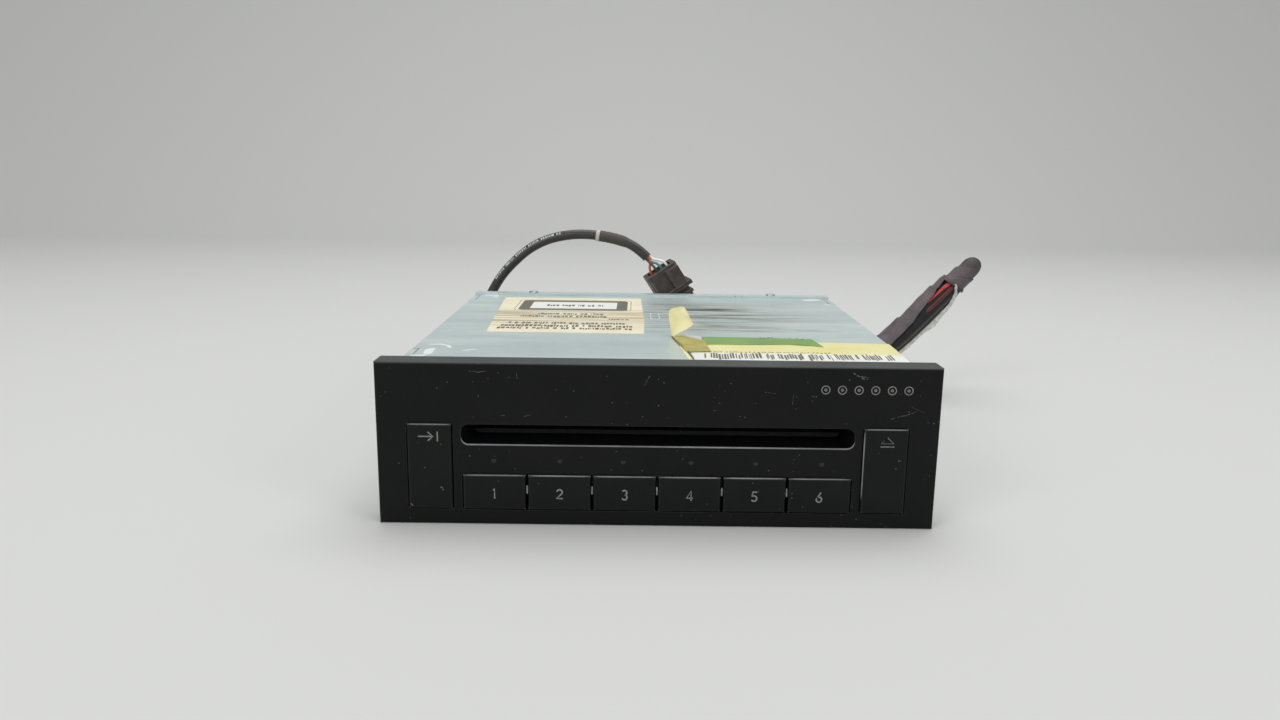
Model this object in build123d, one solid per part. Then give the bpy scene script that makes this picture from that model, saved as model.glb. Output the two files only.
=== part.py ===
"""Single-slot car disc changer for six discs, with its wiring stub: a black moulded front, a zinc-plated
steel case, and inside it the loading rollers, six disc trays on four lift screws, and a play unit that
swings in from the left between two trays.

Frame: +X to the right seen from the front, +Y towards the rear, +Z up. The origin is midway between the
key faces and the rear panel, on the surface that the changer stands on. Lengths are millimetres, angles
degrees.

State shown: disc 4 selected, play unit parked at the left wall. One turn of the lift screws selects disc 5.
"""

from build123d import *
import math
import os

# ---------------------------------------------------------------- driving dimensions
# Disc and tray stack, which everything else is built round
disc_radius = 60.0
disc_thickness = 1.2
tray_sheet = 0.8
tray_margin = 2.0  # a tray reaches past its disc by this
tray_side_margin = 0.6  # and by this where its sides are cut off
tray_lip = 4.0  # width of the ring that the disc lies on
tray_rim = 1.0
rim_clearance = 0.4
rim_start = 30.0  # the rim runs round the rear, from this far behind the disc's centre
stack_pitch = 2.1
stack_foot = 6.4  # from the case's floor to the upper face of the lowest tray
lower_bay = 17.1  # from the lower group's top tray to the playing level
upper_bay = 7.7  # from the playing level to the upper group
top_bay = 9.7  # from the top tray to the upper deck plate
deck_drop = 2.8  # from the lid down to the underside of the upper deck plate
deck_sheet = 1.2
deck_front = 10.0  # the plate reaches this far in front of the front screws
deck_window_width = 17.0
deck_window_inset = 6.0  # from the side wall
deck_window_reach = (-40.0, 30.0)  # along Y, from the disc's centre
ear_width = 13.0
ear_root = 2.0  # the ears start this far inside the ring
side_bay = 28.4  # from the trays' sides to the outside of the case
rear_bay = 8.0  # from the trays to the rear panel

# Front moulding
bezel_side_lap = 5.0  # the front stands past the case by this at each side
bezel_depth = 10.0
bezel_plate = 2.5  # thickness of the moulding's front wall
bezel_wall = 2.0  # thickness of its edge walls
bezel_edge_round = 0.8
rib_thickness = 1.2

# Disc slot in the front
slot_rise = 0.9  # the slot's middle above the tray at the playing level
slot_side_gap = 5.8  # beside the disc
slot_height = 7.0
slot_corner = 2.6
throat_side_gap = 2.5
throat_height = 4.2
throat_corner = 1.56
funnel_wall = 1.4
pad_radius = 1.7
pad_inset = 2.2  # from the end of the circuit board
pad_drop = 9.0  # from the top of the front

# Keys
key_proud = 0.8  # keys stand out of the front wall by this
key_gap = 0.35  # gap all round a key
key_round = 0.7
key_travel = 1.2
key_wall = 1.2
side_key_width = 14.8
side_key_height = 29.5
side_key_bottom = 5.7
side_key_inset = 17.8  # from the end of the front to the key's middle
disc_key_width = 21.1
disc_key_pitch = 21.9
disc_key_height = 12.1
disc_key_bottom = 5.6
disc_key_count = 6
key_depth = 3.8
key_flange = 1.1
key_flange_reach = 0.9
key_flange_gap = 0.2
stem_radius = 1.5
stem_clearance = 0.25
switch_size = 6.0
switch_height = 3.4
switch_wall = 0.7  # material left under the stem at the switch's foot

# Steel case
sheet = 1.0
skirt_depth = 9.0
case_overlap = 2.8  # how far the case reaches into the front moulding
rear_strip = 6.0  # the rear panel's top flange, lying on the cover
lid_edge_round = 0.7
notch_depth = 3.0
front_notch_start = 13.2  # behind the front moulding
front_notch_length = 11.0
rear_notch_end = 7.0  # in front of the rear panel
rear_notch_length = 17.0
tab_gap = 0.6
tab_drop = 0.2  # below the cover's top
foot_width = 30.0
foot_length = 8.0
foot_inset_x = 31.0  # from the case's side to the foot's middle
foot_inset_y = 10.0
vent_width = 2.0
vent_length = 14.0
vent_pitch = 5.0
vent_count = 7
vent_foot = 7.0
vent_offset = -6.0  # from the disc's centre, along Y
rear_vent_pitch = 8.0
rear_vent_foot = 14.0  # above the case's underside
rear_vent_rise = 20.0
rear_vent_centre = -30.0
side_screw_offsets = (-50.0, 26.0)  # from the disc's centre, along Y
side_screw_head = (2.7, 1.4)  # radius, height
rear_screw_head = (2.3, 0.9)
rear_screw_inset = 29.0  # from the case's side
head_chamfer = 0.5
mount_hole_radius = 2.1
mount_boss_radius = 4.0
mount_boss_height = 1.6
mount_spacing = 90.0
mount_offset = -29.0  # from the disc's centre, along Y
mount_height = 17.0

# Boards
board = 1.6
front_board_side_gap = 2.0  # from the side walls
front_board_foot_gap = 0.6
front_board_top_gap = 1.2
front_board_gap = 0.2  # behind the disc slot's funnel
window_corner = 1.0
board_boss_offsets = (-42.0, 10.0, 50.0)  # bosses on the right wall, from the disc's centre along Y
board_boss_drop = 8.2  # below the upper deck plate
board_boss_radius = 3.0
board_gap = 0.4  # between the rear socket and the main board
board_front = -48.0  # the main board's front edge, from the disc's centre
board_rear_gap = 3.0
board_foot_gap = 1.6
board_top_gap = 3.0
capacitor_length = 9.0
capacitor_radius = 3.2
felt_height = 4.2
felt_gap = 1.3
felt_thickness = 1.3

# Lift screws
screw_core = 4.0
screw_clearance = 0.25
screw_pin = 1.5
front_screw_inset = 19.0  # from the side wall
rear_screw_spread = 30.0  # from the middle
pulley_radius = 6.5
pulley_height = 0.9
pulley_gap = 3.0  # from the loading frame to the front pulleys
rear_pulley_gap = 0.65  # from the belt to the rear panel
belt_thickness = 0.8
belt_foot = 0.4
running_clearance = 0.05
lift_motor_length = 24.0
lift_motor_gap = 0.4

# Gears, all of one module
gear_module = 0.6
gear_width = 1.8
roller_teeth = 24
idler_teeth = 20
pinion_teeth = 12
lift_teeth = 30
swing_teeth = 36
motor_shaft = 0.75
motor_gap = 0.6  # between a motor's face and its pinion

# Loading frame and disc roller
loading_gap = 5.2  # from the front moulding
loading_depth = 22.5
loading_side_margin = 8.7  # beside the throat
loading_sheet = 1.2
loading_motor_length = 26.0
loading_motor_foot = 1.5
roller_inset = 12.0  # behind the frame's front
idler_inset = 6.0  # behind the roller
motor_drop = 2.4  # the motor's axis below the idler's
nose_radius = 2.2
nose_height = 1.0
nose_clearance = 0.2
gear_stand = 0.6  # from the frame to its gears
roller_radius = 5.0
roller_waist = 4.3
roller_inner = 8.0
roller_margin = 2.0  # the sleeves end this far inside the disc's edge
roller_shaft = 2.0
roller_nip = 0.1
guide_thickness = 3.6
guide_clearance = 0.3
guide_rib = 1.4
guide_rib_pitch = 12.0
guide_rib_count = 11
guide_rib_height = (0.8, 1.0)  # below and above the guide's plate

# Play unit
swing_side_gap = 12.2  # from the side wall to the swing post
swing_rear_gap = 15.0  # from the rear panel to the swing post
swing_motor_angle = 30.0
swing_motor_radius = 5.6
swing_motor_length = 20.0
swing_gear_foot = 5.2  # above the case's floor
hanger_radius = 2.0
post_radius = 3.0
sleeve_radius = 5.0
arm_half_width = 11.5
hub_wall = 2.2
hub_drop = 5.0
neck_half_width = 6.5
neck_start = 20.0  # distance from the swing post at which the play deck narrows
neck_end = 12.0
spindle_opening = 4.0
play_deck_thickness = 1.2
play_deck_drop = 7.1  # below the tray at the playing level
spindle_radius = 10.0
spindle_height = 8.0
spindle_shaft = 1.0
turntable_radius = 10.8
turntable_thickness = 1.6
turntable_drop = 3.2  # below the tray at the playing level
cone_radius = 7.4
cone_height = 2.0
cone_taper = 1.6
play_lift = 3.6
puck_radius = 11.0
puck_pin = 1.5
clamp_thickness = 1.2
clamp_width = 9.0
sled_width = 16.0
sled_length = 20.0
sled_height = 5.6
turret_radius = 4.6
lens_radius = 2.2
lens_height = 1.4
sled_first = 24.0  # lens to spindle at the innermost track
sled_travel = 34.0
rod_radius = 1.2
rod_offset = 6.0
lug_thickness = 1.8
window_gap = 1.0  # round the sled
lug_gap = 2.2  # from the turntable to the first lug
feed_motor_length = 7.0

# Rear socket, plug and wiring
socket_side_gap = 9.4  # from the right side wall
socket_width = 25.6
socket_foot = 3.5  # above the case's floor
socket_height = 21.0
socket_depth = 15.0
socket_base = 3.0  # thickness of its inner wall
socket_wall = 1.4
plug_gap = 0.3
plug_reach = 8.0
plug_stand = 4.0  # from the rear panel to the hood
plug_back = 23.0
pin_side = 0.7
pin_tail = 2.0  # behind the socket
pin_reach = 8.0  # from the socket's back
pin_clearance = 0.15
pin_rows = 2
pin_columns = 6
pin_pitch = 3.2
bundle_diameter = 14.0
cable_diameter = 5.0
wire_diameter = 1.3
wire_count = 4
wire_ring = 1.3  # radius that the wires start on, round the cable's axis
wire_stub = 2.4  # straight part at each end of a wire
wire_pitch = 3.0  # between wires at the connector
wire_twist = 45.0
wire_pocket = 1.5
connector_body = (17.0, 13.0, 12.0)
connector_wire_face = 9.0  # from the connector's centre

# ---------------------------------------------------------------- places worked out from them
# Across
tray_outer = disc_radius + tray_margin
tray_inner = disc_radius - tray_lip
tray_half_width = disc_radius + tray_side_margin
half_case = tray_half_width + side_bay
side_wall = half_case - sheet  # outer face of the lower case's side wall, inside the cover's skirt
inner_wall = side_wall - sheet
bezel_width = 2 * (half_case + bezel_side_lap)
side_key_centre = bezel_width / 2 - side_key_inset
slot_width = 2 * (disc_radius + slot_side_gap)
throat_width = 2 * (disc_radius + throat_side_gap)
loading_half_width = throat_width / 2 + loading_side_margin
roller_outer = disc_radius - roller_margin
front_board_width = 2 * (inner_wall - front_board_side_gap)
socket_x = (inner_wall - socket_side_gap - socket_width, inner_wall - socket_side_gap)
board_x = (socket_x[1] + board_gap, socket_x[1] + board_gap + board)

# Front to rear
to_front_screws = (
    key_proud + bezel_depth + loading_gap + loading_depth + pulley_gap + pulley_radius
)  # from the key faces
overall_depth = to_front_screws + 2 * tray_outer + rear_bay
front_y = -overall_depth / 2
rear_y = overall_depth / 2
face_y = front_y + key_proud
bezel_back = face_y + bezel_depth
plate_back = face_y + bezel_plate
case_front = bezel_back - case_overlap
front_board_front = bezel_back + front_board_gap
front_board_back = front_board_front + board
flange_front = plate_back + key_flange_gap
switch_front = front_board_front - switch_height
loading_front = bezel_back + loading_gap
loading_rear = loading_front + loading_depth
roller_y = loading_front + roller_inset
disc_centre_y = front_y + to_front_screws + tray_outer
front_screw = (inner_wall - front_screw_inset, disc_centre_y - tray_outer)
rear_screw_y = rear_y - sheet - rear_pulley_gap - belt_thickness - running_clearance - pulley_radius
screws = {
    "front_left": (-front_screw[0], front_screw[1]),
    "front_right": front_screw,
    "rear_left": (-rear_screw_spread, rear_screw_y),
    "rear_right": (rear_screw_spread, rear_screw_y),
}
swing_post = (-(inner_wall - swing_side_gap), rear_y - swing_rear_gap)
swing_radius = math.hypot(swing_post[0], swing_post[1] - disc_centre_y)
swing_angle = 90 - math.degrees(math.atan2(swing_post[1] - disc_centre_y, -swing_post[0]))
notches = (
    (bezel_back + front_notch_start, bezel_back + front_notch_start + front_notch_length),
    (rear_y - rear_notch_end - rear_notch_length, rear_y - rear_notch_end),
)

# Upwards
case_bottom = bezel_wall
floor_top = case_bottom + sheet
low_height = floor_top + stack_foot + 2 * stack_pitch  # highest tray of the lower group
play_height = low_height + lower_bay  # upper face of the tray at the playing level
high_height = play_height + upper_bay  # lowest tray of the upper group
deck_z = high_height + stack_pitch + top_bay
cover_under = deck_z + deck_drop
case_top = cover_under + sheet
bezel_height = case_top + bezel_wall
slot_middle = play_height + slot_rise
disc_under = slot_middle - disc_thickness / 2
roller_z = disc_under - roller_nip - roller_radius
guide_under = disc_under + disc_thickness + guide_clearance
play_deck_height = play_height - play_deck_drop
turntable_top = play_height - turntable_drop
puck_under = turntable_top + play_lift + disc_thickness + 0.1
clamp_z = puck_under + cone_height
belt_z = floor_top + belt_foot
lift_gear_z = deck_z - gear_width - 0.8
socket_z = (floor_top + socket_foot, floor_top + socket_foot + socket_height)

# Tray heights with disc 4 selected: 1 to 3 in the lower group, 4 at the playing level, 5 and 6 above
tray_heights = [
    low_height - 2 * stack_pitch,
    low_height - stack_pitch,
    low_height,
    play_height,
    high_height,
    high_height + stack_pitch,
]

# Routes of the two cables, chosen to follow the photographed lie. Both leave the plug's hood sideways.
plug_y = (rear_y + plug_stand, rear_y + plug_back)
bundle_route = [
    (socket_x[1] - plug_gap - socket_wall, 103.5, 13.8),
    (90.0, 103.5, 13.8),
    (103.0, 104.4, 15.4),
    (115.8, 106.0, 19.6),
    (127.4, 107.6, 26.6),
    (138.2, 109.0, 36.6),
    (149.4, 110.0, 48.4),
    (161.0, 110.5, 60.0),
    (172.4, 111.0, 71.9),
]
cable_route = [
    (socket_x[0] + plug_gap + socket_wall, 104.0, 13.0),
    (43.0, 104.0, 13.0),
    (30.0, 104.8, 10.4),
    (14.0, 106.6, 5.2),
    (-6.0, 109.4, 2.9),
    (-28.0, 111.6, 2.8),
    (-50.0, 112.3, 2.7),
    (-70.1, 112.0, 3.0),
    (-82.9, 111.6, 9.9),
    (-90.5, 111.2, 22.4),
    (-91.0, 110.8, 37.1),
    (-85.2, 110.4, 51.4),
    (-76.8, 109.8, 64.5),
    (-60.4, 108.9, 78.8),
    (-39.4, 107.6, 83.9),
    (-18.9, 105.2, 81.5),
    (-8.2, 103.0, 77.3),
    (-2.6, 101.6, 72.0),
]
connector_centre = (8.2, 99.5, 59.0)
connector_lean = -33.0  # about Y: the wire side points up to the left
connector_yaw = 11.0


# ---------------------------------------------------------------- helpers
def block(x, y, z):
    """A box between two x, two y and two z values."""
    size = [limits[1] - limits[0] for limits in (x, y, z)]
    middle = [sum(limits) / 2 for limits in (x, y, z)]
    return Pos(*middle) * Box(*size)


def span(middle, length):
    """The two limits of a length about its middle."""
    return (middle - length / 2, middle + length / 2)


def on_side(side, inner, outer):
    """Two limits across, mirrored to the left where side is -1, in rising order."""
    return tuple(sorted((side * inner, side * outer)))


def post(place, z, radius):
    """An upright cylinder at place (x, y) between two z values."""
    return Pos(place[0], place[1], sum(z) / 2) * Cylinder(radius, z[1] - z[0])


def bar_x(x, y, z, radius):
    """A cylinder along X between two x values."""
    return Pos(sum(x) / 2, y, z) * Rot(0, 90, 0) * Cylinder(radius, x[1] - x[0])


def bar_y(x, y, z, radius):
    """A cylinder along Y between two y values."""
    return Pos(x, sum(y) / 2, z) * Rot(90, 0, 0) * Cylinder(radius, y[1] - y[0])


def front_face(x, z, width, height, y, depth, corner=0.0):
    """A rectangle seen from the front, extruded from y towards the rear by depth."""
    shape = RectangleRounded(width, height, corner) if corner else Rectangle(width, height)
    plane = Plane(origin=(x, y, z), x_dir=(1, 0, 0), z_dir=(0, -1, 0))
    return extrude(plane * shape, -depth)


def pitch_radius(teeth):
    return gear_module * teeth / 2


def gear_blank(teeth, width, phase=0.0):
    """A spur gear on the XY plane with the centre of one tooth at angle phase. Its straight flanks leave
    a fifth of the pitch as backlash."""
    step = 360 / teeth
    tip = pitch_radius(teeth) + 0.85 * gear_module
    root = pitch_radius(teeth) - 1.15 * gear_module
    corners = []
    for tooth in range(teeth):
        middle = phase + tooth * step
        for radius, share in ((root, -0.29), (tip, -0.11), (tip, 0.11), (root, 0.29)):
            angle = math.radians(middle + share * step)
            corners.append((radius * math.cos(angle), radius * math.sin(angle)))
    return extrude(make_face(Polyline(*corners, close=True)), width)


def direction(start, end):
    return math.degrees(math.atan2(end[1] - start[1], end[0] - start[0]))


def mesh_phase(phase, centre, teeth, other_centre, other_teeth):
    """The phase that a second gear needs for its gap to face the first gear's tooth."""
    step = 360 / teeth
    towards = direction(centre, other_centre)
    offset = ((phase - towards) / step) % 1.0  # in pitches, from the line of centres
    return towards + 180 + (0.5 - offset) * 360 / other_teeth


def tube(route, diameter):
    """A round cord along straight runs joined by tangent arcs, each as large as its two runs allow."""
    points = [Vector(*p) for p in route]
    radii = []
    for before, here, after in zip(points, points[1:], points[2:]):
        arriving, leaving = here - before, after - here
        turn = math.radians(arriving.get_angle(leaving))
        radii.append(0.45 * min(arriving.length, leaving.length) / math.tan(turn / 2))
    path = FilletPolyline(*points, radius=radii)
    start = Plane(origin=path @ 0, z_dir=path % 0)
    solid = sweep(start * Circle(diameter / 2), path=path)
    expected = math.pi * diameter**2 / 4 * path.length
    share = solid.volume / expected
    print(f"  cord: length {path.length:.1f}, radii {[round(r) for r in radii]}, volume share {share:.4f}")
    return solid


# ---------------------------------------------------------------- front moulding and keys
def disc_key_x(number):
    return (number - (disc_key_count + 1) / 2) * disc_key_pitch


def front_bezel():
    """Hollow moulding open at the back, with a funnel that narrows to the disc throat."""
    middle_z = bezel_height / 2
    shell = front_face(0, middle_z, bezel_width, bezel_height, face_y, bezel_depth)
    front_edges = shell.faces().sort_by(Axis.Y)[0].edges()
    shell = fillet(front_edges, bezel_edge_round)
    inside = front_face(
        0, middle_z, bezel_width - 2 * bezel_wall, bezel_height - 2 * bezel_wall, plate_back, bezel_depth
    )
    shell -= inside
    funnel_depth = bezel_back - plate_back
    outer_width, outer_height = slot_width + 2 * funnel_wall, slot_height + 2 * funnel_wall
    shell += front_face(0, slot_middle, outer_width, outer_height, plate_back, funnel_depth)
    mouth = Plane(origin=(0, face_y, slot_middle), x_dir=(1, 0, 0), z_dir=(0, -1, 0))
    throat = Plane(origin=(0, bezel_back, slot_middle), x_dir=(1, 0, 0), z_dir=(0, -1, 0))
    shell -= loft(
        [
            mouth * RectangleRounded(slot_width, slot_height, slot_corner),
            throat * RectangleRounded(throat_width, throat_height, throat_corner),
        ]
    )
    for side in (-1, 1):
        shell -= front_face(
            side * side_key_centre,
            side_key_bottom + side_key_height / 2,
            side_key_width + 2 * key_gap,
            side_key_height + 2 * key_gap,
            face_y,
            bezel_plate,
            key_round,
        )
    row_width = disc_key_pitch * (disc_key_count - 1) + disc_key_width + 2 * key_gap
    row_middle = disc_key_bottom + disc_key_height / 2
    row_height = disc_key_height + 2 * key_gap
    shell -= front_face(0, row_middle, row_width, row_height, face_y, bezel_plate, key_round)
    # a stiffening rib between the key row and the funnel, and two pads for the circuit board
    rib_z = (disc_key_bottom + disc_key_height + slot_middle - slot_height / 2) / 2
    rib_depth = front_board_front - front_board_gap - plate_back
    shell += front_face(0, rib_z, row_width, rib_thickness, plate_back, rib_depth)
    pad_x = front_board_width / 2 - pad_inset
    for x in (-pad_x, pad_x):
        shell += bar_y(x, (plate_back - 0.5, front_board_front), bezel_height - pad_drop, pad_radius)
    return shell


def key(x, bottom, width, height, flange_width):
    """A key cap with a flange behind the front wall and a stem into its switch."""
    z = bottom + height / 2
    cap = front_face(x, z, width, height, front_y, key_depth)
    cap = fillet(cap.faces().sort_by(Axis.Y)[0].edges(), key_round)
    hollow = front_face(
        x, z, width - 2 * key_wall, height - 2 * key_wall, flange_front + key_flange, key_depth
    )
    flange_height = height + 2 * (key_gap + key_flange_reach)
    flange = front_face(x, z, flange_width, flange_height, flange_front, key_flange)
    stem = bar_y(x, (flange_front + key_flange / 2, switch_front + 1.0), z, stem_radius)
    return cap - hollow + flange + stem


def side_key(side):
    flange_width = side_key_width + 2 * (key_gap + key_flange_reach)
    return key(side * side_key_centre, side_key_bottom, side_key_width, side_key_height, flange_width)


def disc_key(number):
    return key(disc_key_x(number), disc_key_bottom, disc_key_width, disc_key_height, disc_key_width - 0.4)


def key_places():
    """The stem axis (x, z) of each of the eight keys."""
    places = [(side * side_key_centre, side_key_bottom + side_key_height / 2) for side in (-1, 1)]
    row = disc_key_bottom + disc_key_height / 2
    return places + [(disc_key_x(number), row) for number in range(1, disc_key_count + 1)]


def key_switches():
    """Push switches on the front board, each with a well that its key's stem runs in."""
    well = stem_radius + stem_clearance
    group = []
    for x, z in key_places():
        body = front_face(x, z, switch_size, switch_size, switch_front, switch_height)
        depth_end = front_board_front - switch_wall
        group.append(body - bar_y(x, (switch_front - 1.0, depth_end), z, well))
    return Compound(children=group)


def front_circuit_board():
    lowest, highest = floor_top + front_board_foot_gap, cover_under - front_board_top_gap
    plate = block(span(0, front_board_width), (front_board_front, front_board_back), (lowest, highest))
    window = (slot_width + 2 * funnel_wall, slot_height + 2 * funnel_wall)
    return plate - front_face(0, slot_middle, *window, front_board_front, board, window_corner)


def dust_felt():
    """Upper and lower felt strips behind the throat. The disc passes between them."""
    upper = slot_middle + (felt_gap + felt_height) / 2
    lower = slot_middle - (felt_gap + felt_height) / 2
    strips = [
        front_face(0, z, throat_width, felt_height, bezel_back, felt_thickness) for z in (upper, lower)
    ]
    return Compound(children=strips)


# ---------------------------------------------------------------- steel case
def mount_places():
    middle = disc_centre_y + mount_offset
    return [middle - mount_spacing / 2, middle + mount_spacing / 2]


def lower_case():
    """Folded tray: floor and two side walls, pressed feet, tapped side bosses, vents and cover tabs."""
    along = (case_front, rear_y - sheet)
    body = block((-side_wall, side_wall), along, (case_bottom, floor_top))
    for side in (-1, 1):
        body += block(on_side(side, inner_wall, side_wall), along, (case_bottom, cover_under))
        for y in mount_places():
            boss = on_side(side, inner_wall, inner_wall - mount_boss_height)
            hole = on_side(side, half_case, inner_wall - 5)
            body += bar_x(boss, y, mount_height, mount_boss_radius)
            body -= bar_x(hole, y, mount_height, mount_hole_radius)
        for notch in notches:
            tab = (notch[0] + tab_gap, notch[1] - tab_gap)
            lip = on_side(side, half_case - notch_depth + tab_gap, half_case)
            body += block(on_side(side, inner_wall, half_case), tab, (cover_under - sheet, cover_under))
            body += block(lip, tab, (cover_under - sheet, case_top - tab_drop))
        foot_x, foot_y = side * (half_case - foot_inset_x), rear_y - foot_inset_y
        body += block(span(foot_x, foot_width), span(foot_y, foot_length), (0, case_bottom))
        inside = (span(foot_x, foot_width - 2 * sheet), span(foot_y, foot_length - 2 * sheet))
        body -= block(*inside, (sheet, floor_top))
        for step in range(vent_count):
            y = disc_centre_y + vent_offset + (step - (vent_count - 1) / 2) * vent_pitch
            through = on_side(side, half_case + 1, inner_wall - 1)
            body -= block(through, span(y, vent_width), (vent_foot, vent_foot + vent_length))
    for offset in board_boss_offsets:
        y = disc_centre_y + offset
        body += bar_x((board_x[1], inner_wall), y, deck_z - board_boss_drop, board_boss_radius)
    return body


def top_cover():
    """Lid with folded skirts outside the lower case's walls, notched at its four corners."""
    lid = block((-half_case, half_case), (case_front, rear_y - sheet), (cover_under, case_top))
    for side in (-1, 1):
        skirt = on_side(side, half_case, side_wall)
        lid += block(skirt, (bezel_back, rear_y - sheet), (case_top - skirt_depth, case_top))
    long_edges = lid.edges().filter_by(Axis.Y).group_by(Axis.Z)[-1]
    lid = fillet(long_edges, lid_edge_round)
    for side in (-1, 1):
        for notch in notches:
            reach = on_side(side, half_case - notch_depth, half_case + 1)
            lid -= block(reach, notch, (case_top - skirt_depth - 1, case_top + 1))
    return lid


def rear_panel():
    """Rear wall with a socket opening and vents, side flanges, and a top flange that lies on the cover."""
    wall = block((-side_wall, side_wall), (rear_y - sheet, rear_y), (case_bottom, case_top))
    wall += block((-half_case, half_case), (rear_y - rear_strip, rear_y), (case_top, case_top + sheet))
    through = (rear_y - 2 * sheet, rear_y + 1)
    opening = [(low - plug_gap, high + plug_gap) for low, high in (socket_x, socket_z)]
    wall -= block(opening[0], through, opening[1])
    for row in range(2):
        for step in range(vent_count):
            x = rear_vent_centre + (step - (vent_count - 1) / 2) * rear_vent_pitch
            z = case_bottom + rear_vent_foot + row * rear_vent_rise
            wall -= block(span(x, vent_width), through, (z, z + vent_length))
    return wall


def case_screws():
    """Pan-head screws: two through each skirt into the lower case, and two through the rear strip."""
    group = []
    z = case_top - skirt_depth / 2
    radius, height = side_screw_head
    strip_top = case_top + sheet
    for side in (-1, 1):
        for offset in side_screw_offsets:
            reach = on_side(side, half_case, half_case + height)
            head = bar_x(reach, disc_centre_y + offset, z, radius)
            group.append(chamfer(head.faces().sort_by(Axis.X)[-1 if side > 0 else 0].edges(), head_chamfer))
        place = (side * (half_case - rear_screw_inset), rear_y - rear_strip / 2)
        group.append(post(place, (strip_top, strip_top + rear_screw_head[1]), rear_screw_head[0]))
    return Compound(children=group)


# ---------------------------------------------------------------- loading rollers
idler_place = (
    roller_y + idler_inset,
    roller_z - math.sqrt(pitch_radius(roller_teeth + idler_teeth) ** 2 - idler_inset**2),
)
motor_reach = pitch_radius(idler_teeth + pinion_teeth)
motor_place = (idler_place[0] - math.sqrt(motor_reach**2 - motor_drop**2), idler_place[1] - motor_drop)
roller_place = (roller_y, roller_z)
gear_start = loading_half_width + gear_stand


def gear_on_x(teeth, place, phase):
    """A gear in the YZ plane at place (y, z), its teeth towards +X from the loading frame."""
    plane = Plane(origin=(gear_start, *place), x_dir=(0, 1, 0), z_dir=(1, 0, 0))
    return plane * gear_blank(teeth, gear_width, phase)


def roller_frame():
    """Steel channel that carries the roller shaft, the idler stud and the loading motor."""
    outer, inner = loading_half_width, loading_half_width - loading_sheet
    frame = block((-outer, outer), (loading_front, loading_rear), (floor_top, floor_top + loading_sheet))
    for side in (-1, 1):
        wall = on_side(side, outer, inner)
        frame += block(wall, (loading_front, loading_rear), (floor_top, guide_under + guide_thickness))
    frame -= bar_x((-outer - 1, outer + 1), *roller_place, roller_shaft + running_clearance)
    frame -= bar_x((inner - 1, outer + 1), *motor_place, nose_radius + nose_clearance)
    frame += bar_x((inner, gear_start + gear_width + 0.8), *idler_place, screw_pin)
    return frame


def roller_shaft_rod():
    shaft_end = gear_start + gear_width
    return bar_x((-loading_half_width - 1.5, shaft_end), *roller_place, roller_shaft)


def roller_sleeves():
    """Two rubber sleeves that thin towards the middle, so that only the disc's rim is gripped."""
    group = []
    for side in (-1, 1):
        length = roller_outer - roller_inner
        middle = Pos(side * (roller_inner + length / 2), *roller_place) * Rot(0, side * 90, 0)
        sleeve = middle * Cone(roller_waist, roller_radius, length)
        reach = on_side(side, roller_inner - 1, roller_outer + 1)
        group.append(sleeve - bar_x(reach, *roller_place, roller_shaft))
    return Compound(children=group)


def roller_gear():
    phase = direction(roller_place, idler_place)
    blank = gear_on_x(roller_teeth, roller_place, phase)
    return blank - bar_x((gear_start - 1, gear_start + gear_width + 1), *roller_place, roller_shaft)


def idler_phase():
    phase = direction(roller_place, idler_place)
    return mesh_phase(phase, roller_place, roller_teeth, idler_place, idler_teeth)


def loading_idler():
    blank = gear_on_x(idler_teeth, idler_place, idler_phase())
    bore = screw_pin + running_clearance
    return blank - bar_x((gear_start - 1, gear_start + gear_width + 1), *idler_place, bore)


def loading_pinion():
    phase = mesh_phase(idler_phase(), idler_place, idler_teeth, motor_place, pinion_teeth)
    shaft = bar_x((loading_half_width - 4.0, gear_start + gear_width + 0.6), *motor_place, motor_shaft)
    return gear_on_x(pinion_teeth, motor_place, phase) + shaft


def loading_motor():
    """Can motor lying along X inside the roller frame, its shaft hole towards the gears."""
    end = loading_half_width - loading_sheet
    radius = motor_place[1] - floor_top - loading_motor_foot
    can = bar_x((end - loading_motor_length, end), *motor_place, radius)
    nose = bar_x((end, end + nose_height), *motor_place, nose_radius)
    hole = bar_x((end - 4.0, end + 2.0), *motor_place, motor_shaft + running_clearance)
    return can + nose - hole


def disc_guide():
    """Plastic guide above the roller. Its ribs run the way the disc travels."""
    inner = loading_half_width - loading_sheet
    top = guide_under + guide_thickness
    below, above = guide_rib_height
    along = (loading_front, loading_rear)
    plate = block((-inner, inner), along, (guide_under + below, top - above))
    for step in range(guide_rib_count):
        x = (step - (guide_rib_count - 1) / 2) * guide_rib_pitch
        plate += block(span(x, guide_rib), along, (guide_under, top))
    return plate


# ---------------------------------------------------------------- lift screws, belt and trays
def lift_screw(name):
    """Screw core on a fixed pin, with a belt pulley at its foot. The thread itself is left off."""
    place = screws[name]
    bore = screw_pin + running_clearance
    screw = post(place, (belt_z, lift_gear_z + gear_width), screw_core)
    screw += post(place, (belt_z, belt_z + pulley_height), pulley_radius)
    if name == "front_right":
        blank = gear_blank(lift_teeth, gear_width, direction(place, lift_motor_place()))
        screw += Pos(*place, lift_gear_z) * blank
    return screw - post(place, (floor_top, deck_z), bore)


def lift_motor_place():
    return (front_screw[0] + pitch_radius(lift_teeth + pinion_teeth), front_screw[1])


def lift_pinion():
    place = lift_motor_place()
    phase = direction(front_screw, place)
    turned = mesh_phase(phase, front_screw, lift_teeth, place, pinion_teeth)
    shaft = post(place, (lift_gear_z - 4.0, lift_gear_z + gear_width + 0.4), motor_shaft)
    return Pos(*place, lift_gear_z) * gear_blank(pinion_teeth, gear_width, turned) + shaft


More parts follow.
